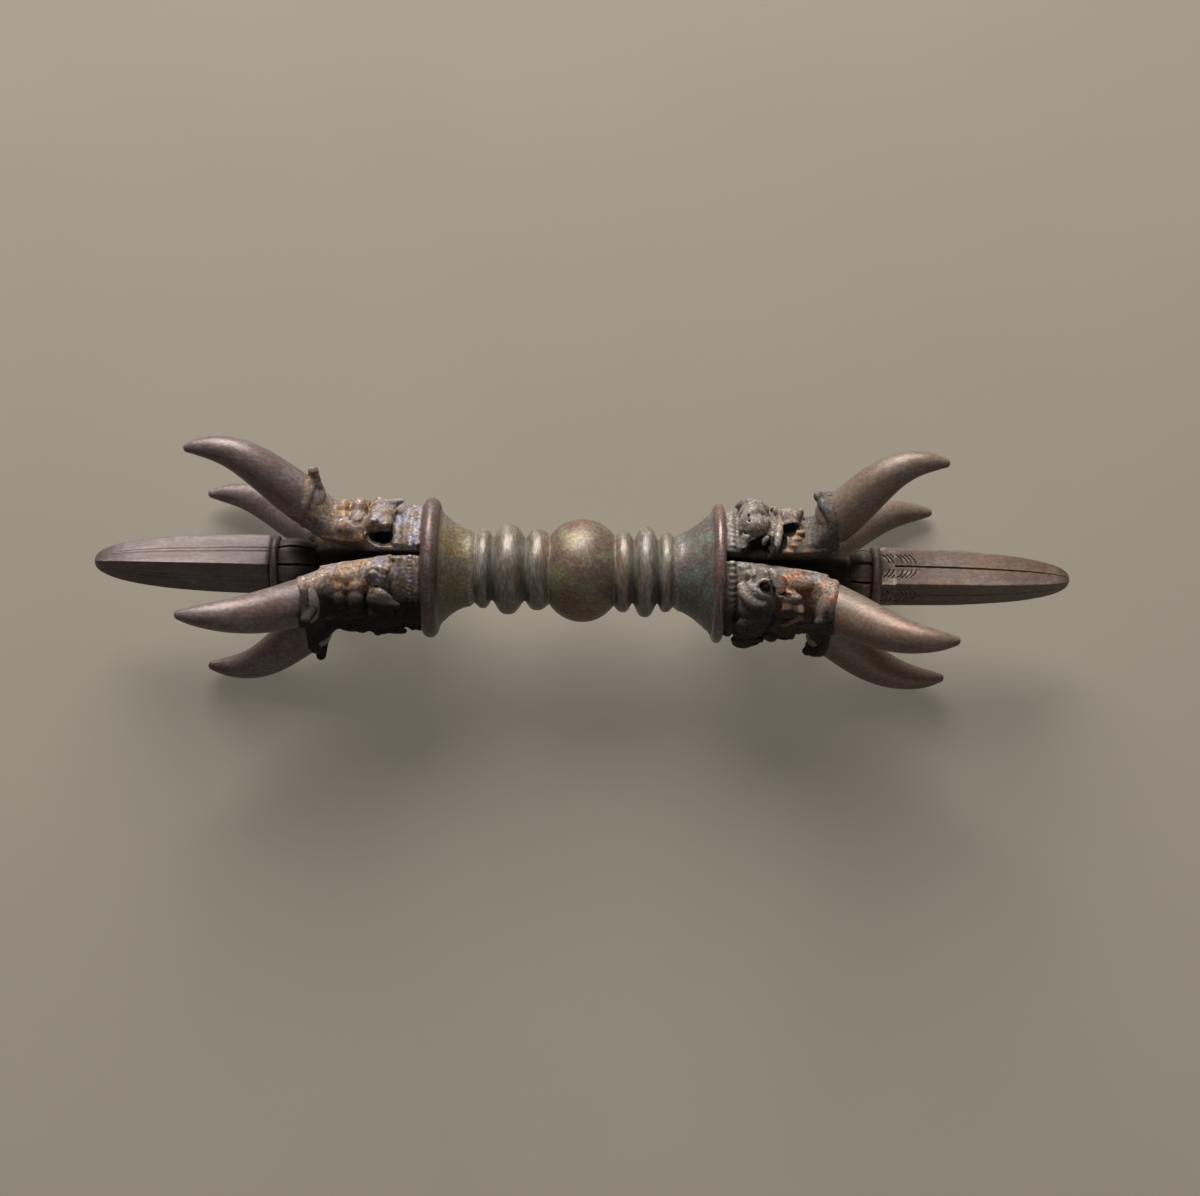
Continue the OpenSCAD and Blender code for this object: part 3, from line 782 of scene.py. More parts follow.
def makeSleeve(end):
    start = places[end]["ball"]
    scale = (places[end]["neck"] - start) / sum(grip["widths"][end])
    lows = (grip["seam"], grip["waist"], grip["waist"], grip["seam"])
    count = grip["ringKnots"]
    profile = [(start, grip["bore"])]
    for ring, width in enumerate(grip["widths"][end]):
        for i in range(count):
            share = i / count
            height = wave(lows[ring], grip["rings"][ring], lows[ring + 1], share)
            profile.append((start + width * scale * share, height))
        start += width * scale
    profile += [(start, grip["seam"]), (start, grip["bore"])]
    master = turnOnAxis("sleeve", profile, grip["steps"])
    sleeve = handOver(master, end + "_sleeve", end, 0)
    castWaver(sleeve, grip["waverSize"], grip["waver"])
    finishPiece(smoothShade(sleeve, grip["crease"]), end + "_ring_sleeve", "grip_bronze", finishes["grip"])


bell = {
    "neckR": 8.7 * mm, "fillet": 1 * mm, "flare": {"left": 1.8, "right": 1.45}, "stand": 0.65,
    "rimWidth": {"left": 4.0 * mm, "right": 2.6 * mm}, "rimSink": 0.3 * mm, "line": 0.25 * mm,
    "knots": 18, "lineKnot": 16,
}


def makeBell(end):
    start, face = places[end]["neck"], places[end]["face"]
    width = bell["rimWidth"][end]
    rimR = sideways(end + "_bell_collar")
    flareR = rimR - bell["stand"] * width
    rimStart = face - width
    foot = start + bell["fillet"]
    count = bell["knots"]
    profile = [(start, grip["bore"]), (start, grip["seam"])]
    for i in range(count + 1):
        share = i / count
        height = bell["neckR"] + (flareR - bell["neckR"]) * share ** bell["flare"][end]
        if i == bell["lineKnot"]:
            height -= bell["line"]
        profile.append((foot + (rimStart - foot) * share, height))
    for i in range(1, count + 1):
        turn = pi * i / count
        profile.append((rimStart + width * (1 - cos(turn)) / 2, flareR + (rimR - flareR) * sin(turn)))
    profile.append((face, grip["bore"]))
    master = turnOnAxis("bell", profile, grip["steps"])
    collar = handOver(master, end + "_bell", end, 0)
    castWaver(collar, grip["waverSize"], grip["waver"])
    smoothShade(collar, grip["crease"])
    finishPiece(collar, end + "_bell_collar", "bell_bronze", finishes["bell_" + end], finishes["rim_" + end])
    for side in collar.data.polygons:
        onRim = abs(side.center.x) > rimStart and Vector(side.center.yz).length > flareR - bell["rimSink"]
        side.material_index = 1 if onRim else 0


makeBall()
for end in ends:
    makeSleeve(end)
    makeBell(end)
print("grip turned")


# Claws

claw = {
    "lipR": {"left": 15.4 * mm, "right": 13.3 * mm},
    "halfHigh": 5.2 * mm, "halfWide": 5.3 * mm, "tipR": 1.15 * mm,
    "rise": {"left": 12.55 * mm, "right": 16.15 * mm},
    "slope": {"left": 34, "right": 41}, "droop": 7,
    "rootPull": 11 * mm, "tipPull": 12.5 * mm, "fall": 1.8, "full": 0.72,
    "stations": 22, "sides": 24, "sunk": 1.5 * mm, "sunkShare": 0.8, "tipTurns": (20, 40, 58, 72, 84),
    "waver": 0.14 * mm, "waverSize": 8 * mm,
}
# How far each tip strays sideways and in its rise, in millimetres
clawStray = {
    "left": {
        "top_front": (3.1, 0), "top_back": (0.6, 0.9), "bottom_back": (-2.4, 0.6), "bottom_front": (-1, 0),
    },
    "right": {
        "top_front": (1.4, 0), "top_back": (0, -0.4), "bottom_back": (-0.5, 0.3),
        "bottom_front": (-0.8, -2.2),
    },
}


def onCurve(knots, share):
    a, b, c, d = knots
    rest = 1 - share
    return rest ** 3 * a + 3 * share * rest ** 2 * b + 3 * share ** 2 * rest * c + share ** 3 * d


def slopeOn(knots, share):
    a, b, c, d = knots
    rest = 1 - share
    run = rest ** 2 * (b - a) + 2 * share * rest * (c - b) + share ** 2 * (d - c)
    return Vector((run.x, run.z)).angle_signed(Vector((1, 0)))


def makeClaw(end, spot):
    node = end + "_claw_" + spot
    sway, lift = clawStray[end][spot]
    lipR = claw["lipR"][end]
    root = Vector((places[end]["lip"], 0, lipR))
    tip = Vector((reach(node)[1] - claw["tipR"], sway * mm, lipR + claw["rise"][end] + lift * mm))
    slope = radians(claw["slope"][end])
    droop = radians(claw["droop"])
    leave = Vector((cos(slope), 0, sin(slope)))
    arrive = Vector((cos(droop), 0, -sin(droop)))
    knots = (root, root + claw["rootPull"] * leave, tip - claw["tipPull"] * arrive, tip)
    sunk = claw["sunkShare"]
    stations = [(root - claw["sunk"] * leave, slope, sunk * claw["halfWide"], sunk * claw["halfHigh"])]
    for i in range(claw["stations"] + 1):
        share = i / claw["stations"]
        thin = (1 - share ** claw["fall"]) ** claw["full"]
        wide = claw["tipR"] + (claw["halfWide"] - claw["tipR"]) * thin
        high = claw["tipR"] + (claw["halfHigh"] - claw["tipR"]) * thin
        stations.append((onCurve(knots, share), slopeOn(knots, share), wide, high))
    for turn in claw["tipTurns"]:
        size = claw["tipR"] * cos(radians(turn))
        stations.append((tip + claw["tipR"] * sin(radians(turn)) * arrive, -droop, size, size))
    master = growAlong("claw", stations, claw["sides"])
    applyModifier(master, "SUBSURF", levels=1, render_levels=1)
    piece = handOver(master, node, end, spots[spot])
    castWaver(piece, claw["waverSize"], claw["waver"])
    finishPiece(smoothShade(piece), node, "claw_bronze", finishes["claw_" + end])


for end in ends:
    for spot in spots:
        makeClaw(end, spot)
print("claws drawn")


# Blades and ferrules

sword = {
    "edgeR": 6.75 * mm, "point": 2.2, "full": 0.4, "stations": 26, "crowd": 1.8, "cuts": 31,
    "turn": {"left": 15, "right": 30}, "soft": 0.3 * mm,
    "shoulder": 1.6 * mm, "shoulderCut": {"left": 0.2, "right": 0},
    "lines": {"left": {"apart": 0.55 * mm, "deep": 0.12 * mm}, "right": {"apart": 0, "deep": 0.4 * mm}},
    "shoulderSteps": 5, "least": 0.012, "pick": 0.9, "softSteps": 4, "crease": 35,
    "stemR": 4.0 * mm, "stemIn": 1 * mm, "stemSides": 48, "waver": 0.2 * mm, "waverSize": 8 * mm,
    "strokes": {"left": 0, "right": 4}, "strokeStep": 0.95 * mm, "strokeR": 0.18 * mm,
    "stroke": [(0.3 * mm, 3.0 * mm), (1.3 * mm, 2.1 * mm), (2.0 * mm, 0.8 * mm)],
}


def bladeShare(share):
    return (1 - (1 - share) ** sword["point"]) ** sword["full"]


def shoulderShare(end, fromRoot):
    rest = max(0, 1 - fromRoot / sword["shoulder"])
    return 1 - sword["shoulderCut"][end] * (1 - sqrt(1 - rest ** 2))


def cutLeaf(piece, count, root):
    flat = sword["edgeR"] / sqrt(2)
    made = []
    for i in range(count):
        for face in range(4):
            out = radians(45 + 90 * face)
            for side in (-1, 1):
                made.append(strand([
                    (
                        root + along + i * sword["strokeStep"],
                        flat * cos(out) - side * across * sin(out),
                        flat * sin(out) + side * across * cos(out),
                        sword["strokeR"],
                    )
                    for along, across in sword["stroke"]
                ]))
    if made:
        cutAway(piece, tidySkin(joinAll("leaf_strokes", made)))


def makeBlade(end):
    root, tip = places[end]["blade"], places[end]["tip"] - sword["waver"] / 2
    deselectAll()
    bpy.ops.mesh.primitive_circle_add(
        vertices=4, radius=sword["edgeR"], fill_type="NOTHING", location=(root, 0, 0), rotation=(0, pi / 2, 0)
    )
    blade = bpy.context.object
    blade.name = end + "_blade_draft"
    bpy.ops.object.transform_apply(location=True, rotation=True, scale=True)
    bpy.ops.object.mode_set(mode="EDIT")
    bpy.ops.mesh.bevel(offset=sword["soft"], segments=sword["softSteps"], affect="VERTICES")
    bpy.ops.mesh.select_all(action="DESELECT")
    bpy.ops.object.mode_set(mode="OBJECT")
    for edge in blade.data.edges:
        near, far = (blade.data.vertices[i].co for i in edge.vertices)
        edge.select = (near - far).length > sword["edgeR"]
    bpy.ops.object.mode_set(mode="EDIT")
    bpy.ops.mesh.subdivide(number_cuts=sword["cuts"])
    bpy.ops.mesh.select_all(action="DESELECT")
    bpy.ops.object.mode_set(mode="OBJECT")
    cut = sword["lines"][end]
    halfStep = sword["edgeR"] / sqrt(2) / (sword["cuts"] + 1)
    for vertex in blade.data.vertices:
        across = abs(abs(vertex.co.y) - abs(vertex.co.z)) / sqrt(2)
        vertex.select = abs(across - cut["apart"]) < sword["pick"] * halfStep
    bpy.ops.object.mode_set(mode="EDIT")
    flat = sword["edgeR"] / sqrt(2)
    shrink = (flat - cut["deep"]) / flat
    bpy.ops.transform.resize(value=(1, shrink, shrink), center_override=(root, 0, 0))
    bpy.ops.mesh.select_all(action="SELECT")
    bpy.ops.mesh.edge_face_add()
    now = 1.0
    where = root
    long = tip - root
    steps = sword["shoulderSteps"]
    shares = [1 - sword["shoulder"] * i / steps / long for i in range(steps + 1)]
    count = sword["stations"]
    shares += [shares[-1] * (1 - i / count) ** sword["crowd"] for i in range(1, count + 1)]
    for share in shares:
        spot = tip - share * long
        size = max(bladeShare(share), sword["least"]) * shoulderShare(end, spot - root)
        bpy.ops.mesh.extrude_region_move(TRANSFORM_OT_translate={"value": (spot - where, 0, 0)})
        bpy.ops.transform.resize(value=(1, size / now, size / now), center_override=(spot, 0, 0))
        now, where = size, spot
    bpy.ops.mesh.merge(type="CENTER")
    bpy.ops.object.mode_set(mode="OBJECT")
    tidySkin(blade)
    cutLeaf(blade, sword["strokes"][end], root)
    stem = growAlong("stem", [
        ((places[end]["face"], 0, 0), 0, sword["stemR"], sword["stemR"]),
        ((root + sword["stemIn"], 0, 0), 0, sword["stemR"], sword["stemR"]),
    ], sword["stemSides"])
    blade = joinAll(end + "_blade_master", [blade, stem])
    piece = handOver(blade, end + "_blade_piece", end, sword["turn"][end])
    castWaver(piece, sword["waverSize"], sword["waver"])
    finishPiece(smoothShade(piece, sword["crease"]), end + "_blade", "blade_bronze", finishes["blade_" + end])


ferrule = {
    "ringR": {"left": 6.7 * mm, "right": 6.9 * mm}, "crown": 0.8,
    "ringWidth": {"left": 1.6 * mm, "right": 1.9 * mm},
    "cupR": 6.0 * mm, "long": 9.8 * mm, "foot": 0.8 * mm, "collar": {"left": 0, "right": 3.1 * mm},
    "swell": 150, "petals": 8, "sides": 96, "knots": 14, "groove": 0.82, "grooveTurn": 0.06, "crease": 60,
    "bore": 4.05 * mm, "wall": 0.5 * mm, "slack": 0.01 * mm, "strokes": 3,
}


def makeFerrule(end):
    far = places[end]["blade"]
    ringEnd = far - ferrule["collar"][end]
    ringStart = ringEnd - ferrule["ringWidth"][end]
    cupStart = far - ferrule["long"]
    ringR = ferrule["ringR"][end]
    count = ferrule["knots"]
    low = ferrule["bore"] + ferrule["foot"]
    profile = [(cupStart, ferrule["bore"])]
    for i in range(count + 1):
        share = i / count
        height = low + (ferrule["cupR"] - low) * sin(radians(ferrule["swell"]) * share)
        profile.append((cupStart + (ringStart - cupStart) * share, height))
    for i in range(1, count):
        turn = pi * i / count
        height = ferrule["cupR"] + (ringR - ferrule["cupR"]) * sin(turn) ** ferrule["crown"]
        profile.append((ringStart + (ringEnd - ringStart) * (1 - cos(turn)) / 2, height))
    if ringEnd < far:
        profile.append((ringEnd, ferrule["cupR"]))
    profile += [(far, ferrule["cupR"]), (far, ferrule["bore"])]
    master = turnOnAxis(end + "_ferrule_draft", profile, ferrule["sides"])
    bpy.ops.object.mode_set(mode="EDIT")
    bpy.ops.mesh.select_all(action="DESELECT")
    bpy.ops.object.mode_set(mode="OBJECT")
    step = 2 * pi / ferrule["petals"]
    for vertex in master.data.vertices:
        turn = Vector((vertex.co.y, vertex.co.z)).angle_signed(Vector((1, 0)), 0) % step
        onLine = min(turn, step - turn) < ferrule["grooveTurn"]
        vertex.select = onLine and vertex.co.x < ringStart and Vector(vertex.co.yz).length > low
    bpy.ops.object.mode_set(mode="EDIT")
    shrink = ferrule["groove"]
    bpy.ops.transform.resize(value=(1, shrink, shrink), center_override=(cupStart, 0, 0))
    bpy.ops.object.mode_set(mode="OBJECT")
    if ringEnd < far:
        for vertex in master.data.vertices:
            out = Vector(vertex.co.yz)
            onCollar = vertex.co.x > ringEnd - ferrule["slack"]
            if onCollar and out.length > ferrule["bore"] + ferrule["wall"]:
                vertex.co.yz = out * sword["edgeR"] / (abs(out.x) + abs(out.y))
        cutLeaf(master, ferrule["strokes"], ringEnd)
    piece = handOver(master, end + "_ferrule_piece", end, sword["turn"][end])
    smoothShade(piece, ferrule["crease"])
    finishPiece(piece, end + "_blade_ferrule", "blade_bronze", finishes["blade_" + end])


for end in ends:
    makeBlade(end)
    makeFerrule(end)
print("blades and ferrules made")


# Beast heads. Along is measured out from the bell, aside from the head's own middle, and up from the axis.
# The two sides of a head differ, as the casting does: "upper" has aside below zero and "lower" above it.

head = {
    "voxel": 0.2 * mm, "gap": 0.85 * mm, "sides": 28, "smooth": 0.5, "passes": 5,
    "waver": 0.3 * mm, "waverSize": 2.6 * mm, "beadEnd": 40, "shadePast": 0.14,
}
flanks = {"middle": (1,), "both": (-1, 1), "upper": (-1,), "lower": (1,)}


def arc(along, up, tube, most=40, knots=5):
    turns = [radians(most) * (2 * i / (knots - 1) - 1) for i in range(knots)]
    return [(along, up * sin(a), up * cos(a), tube) for a in turns]


def mouthRing(along, lean, wide, high, up, tube, knots=12):
    turns = [2 * pi * i / knots for i in range(knots + 1)]
    return [(along - lean * cos(a), wide * sin(a), up + high * cos(a), tube) for a in turns]


def eyeRing(place, tilt, wide, high, tube, fromTurn=0, toTurn=360, knots=8):
    along, aside, up = place
    made = []
    for i in range(knots + 1):
        a = radians(fromTurn + (toTurn - fromTurn) * i / knots)
        shift = high * sin(a)
        made.append((along + wide * cos(a), aside + shift * cos(tilt), up - shift * sin(tilt), tube))
    return made


def fan(place, tilt, inner, outer, turns, tube):
    along, aside, up = place
    made = {}
    for turn in turns:
        a = radians(turn)
        made["ray" + str(turn)] = [
            (along + r * cos(a), aside + r * sin(a) * cos(tilt), up - r * sin(a) * sin(tilt), tube)
            for r in (inner, (inner + outer) / 2, outer)
        ]
    return made


# Sections of a body: along, top, base, half width
bodies = {
    "left": [
        (0, 13.9, 4.8, 8.8), (2.6, 13.9, 4.9, 8.7), (3.6, 13.3, 5.0, 8.5), (6.2, 13.0, 5.1, 8.4),
        (8, 14.4, 5.3, 8.2), (10.4, 14.4, 5.6, 7.8), (11.6, 14.0, 5.8, 7.5), (13.5, 14.4, 6.0, 7.1),
        (16, 14.3, 6.3, 6.7), (18.2, 14.5, 6.7, 6.3), (20, 15.9, 7.1, 6.1), (21.6, 17.8, 7.5, 5.9),
        (23, 19.6, 8.2, 5.7), (24.6, 21.4, 9.3, 5.6), (26.2, 22.3, 10.8, 5.5),
    ],
    "right": [
        (0, 13.7, 4.8, 8.8), (2.2, 13.3, 4.9, 8.7), (3.2, 13.6, 5.0, 8.5), (6, 15.0, 5.0, 8.2),
        (9.6, 14.2, 5.1, 7.6), (11, 13.7, 5.1, 7.3), (13, 13.8, 5.2, 7.0), (16, 13.3, 5.4, 6.5),
        (17.8, 12.6, 5.4, 6.2), (19.6, 13.9, 5.5, 6.0), (21.4, 17.0, 5.7, 5.8), (23, 19.3, 6.2, 5.7),
        (24.4, 20.3, 7.0, 5.55),
    ],
}
# A ridge is a list of places with its thickness there
ridges = {
    "left": {
        "middle": {
            "fillet": arc(0.45, 13.7, 0.7),
            "neckRing": arc(5.0, 13.1, 1.3),
            "crest": [
                (11.0, 0, 14.2, 1.6), (9.2, 0, 15.0, 2.1), (7.2, 0, 15.9, 1.7), (5.6, 0, 16.6, 1.1),
                (4.6, 0, 16.9, 0.75), (3.9, 0, 16.7, 0.4),
            ],
            "trunkTip": [
                (23.0, 0, 15.0, 2.6), (23.5, 0, 19.0, 2.0), (23.7, 0, 21.8, 1.5), (23.8, 0, 24.0, 1.15),
            ],
            "lip": mouthRing(25.3, 1.0, 4.5, 4.9, 16.4, 1.15),
        },
        "both": {
            "mane": [
                (10.6, 1.7, 14.0, 1.0), (8.6, 2.0, 15.0, 1.1), (6.8, 1.5, 15.7, 0.8),
                (5.6, 0.8, 16.2, 0.4),
            ],
            "snoutFold": [(11.8, 6.7, 10.8, 0.6), (12.2, 5.6, 12.8, 0.8), (12.6, 3.4, 14.4, 0.7)],
            "flange": [
                (24.2, 0.5, 21.8, 1.3), (24.9, 1.7, 21.1, 1.2), (25.2, 2.9, 20.2, 1.0),
                (25.3, 3.9, 18.9, 0.7),
            ],
        },
        "upper": {
            "lowerLip": [
                (12.2, 7.0, 12.6, 0.45), (10.6, 8.0, 10.9, 0.6), (8.0, 8.5, 9.9, 0.65), (5.6, 8.5, 9.7, 0.55),
                (4.2, 8.5, 9.8, 0.4),
            ],
            "jaw": [(12.6, 6.8, 10.2, 0.45), (17, 6.4, 10.2, 0.5), (22, 5.6, 10.8, 0.45)],
        },
        "lower": {
            "jaw": [(6.2, 8.1, 9.6, 0.55), (11, 7.2, 9.8, 0.55), (17, 6.4, 10.2, 0.5), (22, 5.6, 10.8, 0.45)],
        },
    },
    "right": {
        "middle": {
            "fillet": arc(0.35, 13.4, 0.6),
            "column": arc(3.7, 13.4, 1.2, 38),
            "snout": [
                (12.4, 0, 14.4, 2.1), (13.4, 0, 14.5, 2.1), (14.8, 0, 14.2, 2.0), (16.0, 0, 15.2, 1.4),
                (16.5, 0, 16.4, 0.8), (16.6, 0, 17.0, 0.45),
            ],
            "trunkTip": [
                (23.2, 0, 15.5, 2.6), (22.0, 0, 18.2, 1.9), (20.9, 0, 19.6, 1.35), (20.2, 0, 20.2, 1.1),
            ],
            "lip": mouthRing(23.6, 0.8, 4.8, 5.7, 13.9, 1.2),
        },
        "both": {
            "hood": [
                (2.9, 5.4, 13.8, 0.9), (4.2, 3.3, 16.0, 1.4), (6.2, 1.8, 16.9, 1.5),
                (8.6, 1.6, 15.7, 1.1),
            ],
            "hoodSide": [
                (4.6, 5.7, 13.6, 1.0), (6.2, 4.3, 15.2, 1.3), (8.0, 3.5, 15.4, 1.1),
                (9.6, 2.6, 14.8, 0.7),
            ],
            "flange": [
                (20.8, 0.7, 19.4, 1.3), (21.8, 2.3, 18.7, 1.4), (22.9, 3.9, 17.2, 1.4),
                (23.7, 4.7, 15.2, 1.2),
            ],
            "jaw": [(13.6, 6.6, 9.2, 0.45), (18, 6.1, 9.4, 0.55), (22.6, 5.5, 9.8, 0.45)],
        },
        "upper": {
            "ear": [(3.2, 8.2, 9.8, 0.7), (3.7, 7.3, 11.6, 1.0), (4.4, 6.1, 13.3, 1.1)],
            "lipFold": [
                (11.9, 0.6, 14.0, 0.7), (11.8, 2.8, 13.7, 1.0), (11.5, 5.2, 12.7, 1.1),
                (11.0, 7.1, 11.2, 1.05),
                (9.9, 8.2, 9.9, 0.8), (8.6, 8.7, 9.2, 0.5),
            ],
        },
        "lower": {
            "noseRidge": [
                (9.6, 7.7, 11.0, 0.8), (10.6, 6.6, 12.3, 1.2), (11.4, 5.0, 13.4, 1.35),
                (12.0, 3.2, 14.3, 1.2),
                (13.0, 1.7, 14.9, 0.8),
            ],
            "nostril": [(12.6, 2.3, 13.4, 1.4), (14.2, 2.5, 13.5, 1.5), (15.4, 2.1, 13.8, 1.0)],
            "cheek": [(3.9, 8.1, 9.6, 0.6), (4.6, 7.0, 11.8, 1.0), (6.0, 6.4, 12.6, 0.9)],
        },
    },
}
# A lump is a place and its half sizes
lumps = {
    "left": {
        "middle": {
            "browLobe": ((13.9, 0, 14.4), (1.9, 2.9, 2.9)),
            "noseLobe": ((17.4, 0, 14.3), (1.6, 2.5, 2.5)),
            "trunkKnob": ((23.8, 0, 24.0), (1.15, 1.2, 1.1)),
        },
        "both": {
            "flank": ((15.8, 3.4, 12.2), (5.0, 3.1, 2.5)),
            "browSide": ((14.0, 2.4, 13.5), (2.2, 2.5, 2.3)),
            "noseSide": ((17.3, 2.3, 13.4), (2.0, 2.3, 2.0)),
        },
        "upper": {
            "cheek": ((9.9, 5.2, 14.3), (1.9, 2.5, 2.2)),
            "cheekBack": ((7.7, 5.1, 14.2), (1.9, 2.5, 1.9)),
            "cheekTop": ((8.6, 3.2, 15.2), (3.0, 2.6, 1.9)),
            "cheekFront": ((11.2, 4.6, 13.4), (1.4, 2.2, 2.0)),
        },
        "lower": {"cheek": ((9.2, 4.9, 12.4), (3.6, 3.0, 1.7))},
    },
    "right": {
        "middle": {
            "crest": ((5.9, 0, 14.6), (3.2, 3.4, 3.6)),
            "trunkKnob": ((20.2, 0, 20.2), (1.1, 1.2, 1.1)),
        },
        "both": {
            "brow": ((7.4, 3.0, 14.4), (2.4, 1.9, 1.9)),
            "snoutBlock": ((13.9, 1.0, 13.5), (2.6, 2.3, 2.1)),
        },
        "upper": {"hoodMass": ((6.3, 3.7, 14.7), (3.1, 3.0, 2.5))},
        "lower": {"snoutSide": ((14.4, 2.3, 14.4), (2.4, 1.5, 1.3))},
    },
}
hollows = {
    "left": {
        "middle": {
            "neck": arc(6.5, 14.9, 0.65, 30),
            "bandGap": arc(3.4, 14.4, 0.4),
        },
        "both": {
            "browGap": [(11.7, 0, 16.6, 0.9), (11.7, 2.4, 15.9, 0.8), (11.8, 4.0, 14.8, 0.5)],
            "noseGap": [(15.8, 0, 16.7, 0.55), (15.7, 2.6, 15.7, 0.55), (15.6, 4.6, 14.0, 0.4)],
        },
        "upper": {
            "mouth": [
                (11.8, 7.0, 12.2, 0.8), (10.0, 7.7, 11.7, 1.4), (8.2, 7.8, 11.5, 1.7),
                (6.6, 8.0, 11.5, 1.3),
            ],
            "deep": [(10.0, 6.2, 11.4, 1.2), (8.2, 6.2, 11.2, 1.5), (6.8, 6.6, 11.3, 1.1)],
            "cheekGap": [(6.2, 8.4, 11.8, 0.9), (6.3, 7.2, 13.2, 0.7), (6.4, 5.6, 14.4, 0.5)],
        },
        "lower": {
            "mouth": [(7.2, 9.2, 10.6, 0.8), (9.4, 8.9, 10.9, 1.0), (11.4, 8.2, 11.0, 0.7)],
            "cheekGap": [(5.9, 8.4, 11.2, 0.8), (6.1, 6.9, 12.9, 0.8), (6.3, 4.8, 14.2, 0.5)],
            "eyeSocket": [(9.2, 6.8, 14.9, 0.7), (10.0, 6.7, 15.0, 0.95), (10.9, 6.5, 14.9, 0.6)],
        },
    },
    "right": {
        "middle": {
            "neck": arc(2.45, 14.4, 0.55),
            "saddle": [(18.2, -6.4, 12.8, 1.0), (18.2, -3, 14.2, 1.4), (18.2, 2, 14.4, 1.2)],
        },
        "both": {"crestGap": [(10.3, 0, 16.4, 0.8), (10.3, 2.2, 15.9, 0.7)]},
        "upper": {
            "mouth": [(4.8, 9.0, 10.2, 1.6), (7.0, 8.5, 10.5, 2.2), (9.2, 8.0, 11.2, 1.6)],
            "jawSide": [(4.6, 9.2, 8.2, 1.2), (7.0, 8.9, 8.0, 1.5), (9.0, 8.7, 8.0, 1.2)],
            "deep": [(5.4, 7.0, 11.0, 1.3), (7.4, 6.4, 11.4, 1.7), (9.4, 6.2, 12.2, 1.2)],
            "teethGap": [(12.6, 4.0, 12.9, 0.9), (13.8, 3.5, 13.3, 1.5), (15.4, 2.9, 13.6, 1.2)],
            "lipGap": [(12.7, 5.0, 12.6, 0.8), (12.5, 6.4, 11.5, 0.9), (12.1, 7.4, 10.3, 0.7)],
            "underTeeth": [(15.4, 7.6, 10.0, 0.7), (17.0, 6.6, 11.4, 0.8), (18.2, 5.0, 13.0, 0.7)],
        },
        "lower": {
            "eyeSocket": [(7.6, 5.6, 14.6, 1.0), (8.6, 5.2, 14.6, 1.6), (9.7, 4.4, 14.7, 1.0)],
            "nostrilHole": [(12.9, 3.8, 15.0, 0.5), (13.6, 3.6, 15.0, 0.6)],
            "snoutLine": [(11.4, 3.6, 15.1, 0.35), (13.4, 3.6, 14.9, 0.4), (16.6, 3.5, 14.6, 0.35)],
        },
    },
}
# Set in after the hollows: fine ridges, then balls
fineRidges = {
    "left": {
        "upper": {
            "curl": [
                (12.8, 3.6, 15.0, 0.4), (13.8, 4.5, 14.4, 0.5), (14.9, 4.4, 14.3, 0.4),
                (15.2, 3.6, 14.8, 0.3),
            ],
            "wrinkle": [(13.4, 5.6, 13.2, 0.3), (15.0, 5.8, 12.9, 0.4), (16.6, 5.4, 12.9, 0.3)],
            "wrinkleTwo": [(16.4, 4.3, 13.9, 0.3), (18.0, 4.6, 13.3, 0.4), (19.8, 4.2, 13.2, 0.3)],
        },
        "lower": {
            "brow": [
                (12.0, 7.3, 10.9, 0.4), (12.4, 6.5, 12.1, 0.65), (12.5, 5.4, 13.2, 0.7),
                (12.2, 4.3, 13.9, 0.6),
                (11.6, 3.3, 14.3, 0.35),
            ],
            **fan((9.8, 6.0, 14.0), 0.1, 1.3, 2.7, (195, 215, 235, 255, 275), 0.32),
            **{
                "wrinkle" + str(i): [
                    (12.6 + 0.95 * i, 6.5, 12.0, 0.3), (13.4 + 0.95 * i, 5.4, 13.2, 0.38),
                    (13.9 + 0.95 * i, 4.3, 14.0, 0.3),
                ]
                for i in range(3)
            },
            "along": [(13.0, 4.0, 14.7, 0.3), (15.6, 4.2, 14.3, 0.36), (19.2, 3.6, 14.2, 0.3)],
        },
    },
    "right": {
        "upper": {
            "tusk": [(8.2, 7.0, 11.4, 0.4), (8.4, 6.6, 12.4, 0.7), (9.2, 6.2, 13.2, 0.5)],
        },
        "lower": {
            "arch": eyeRing((8.5, 5.0, 14.4), radians(30), 1.9, 1.6, 0.5, 60, 235),
            **{
                "curl" + str(i): [
                    (12.8 + 1.2 * i, 6.3 - 0.1 * i, 11.4 - 0.22 * i, 0.35),
                    (13.8 + 1.2 * i, 5.3, 12.5 - 0.2 * i, 0.5),
                    (14.0 + 1.2 * i, 4.3, 13.1 - 0.2 * i, 0.5), (13.3 + 1.2 * i, 3.6, 13.3 - 0.2 * i, 0.35),
                ]
                for i in range(5)
            },
        },
    },
}
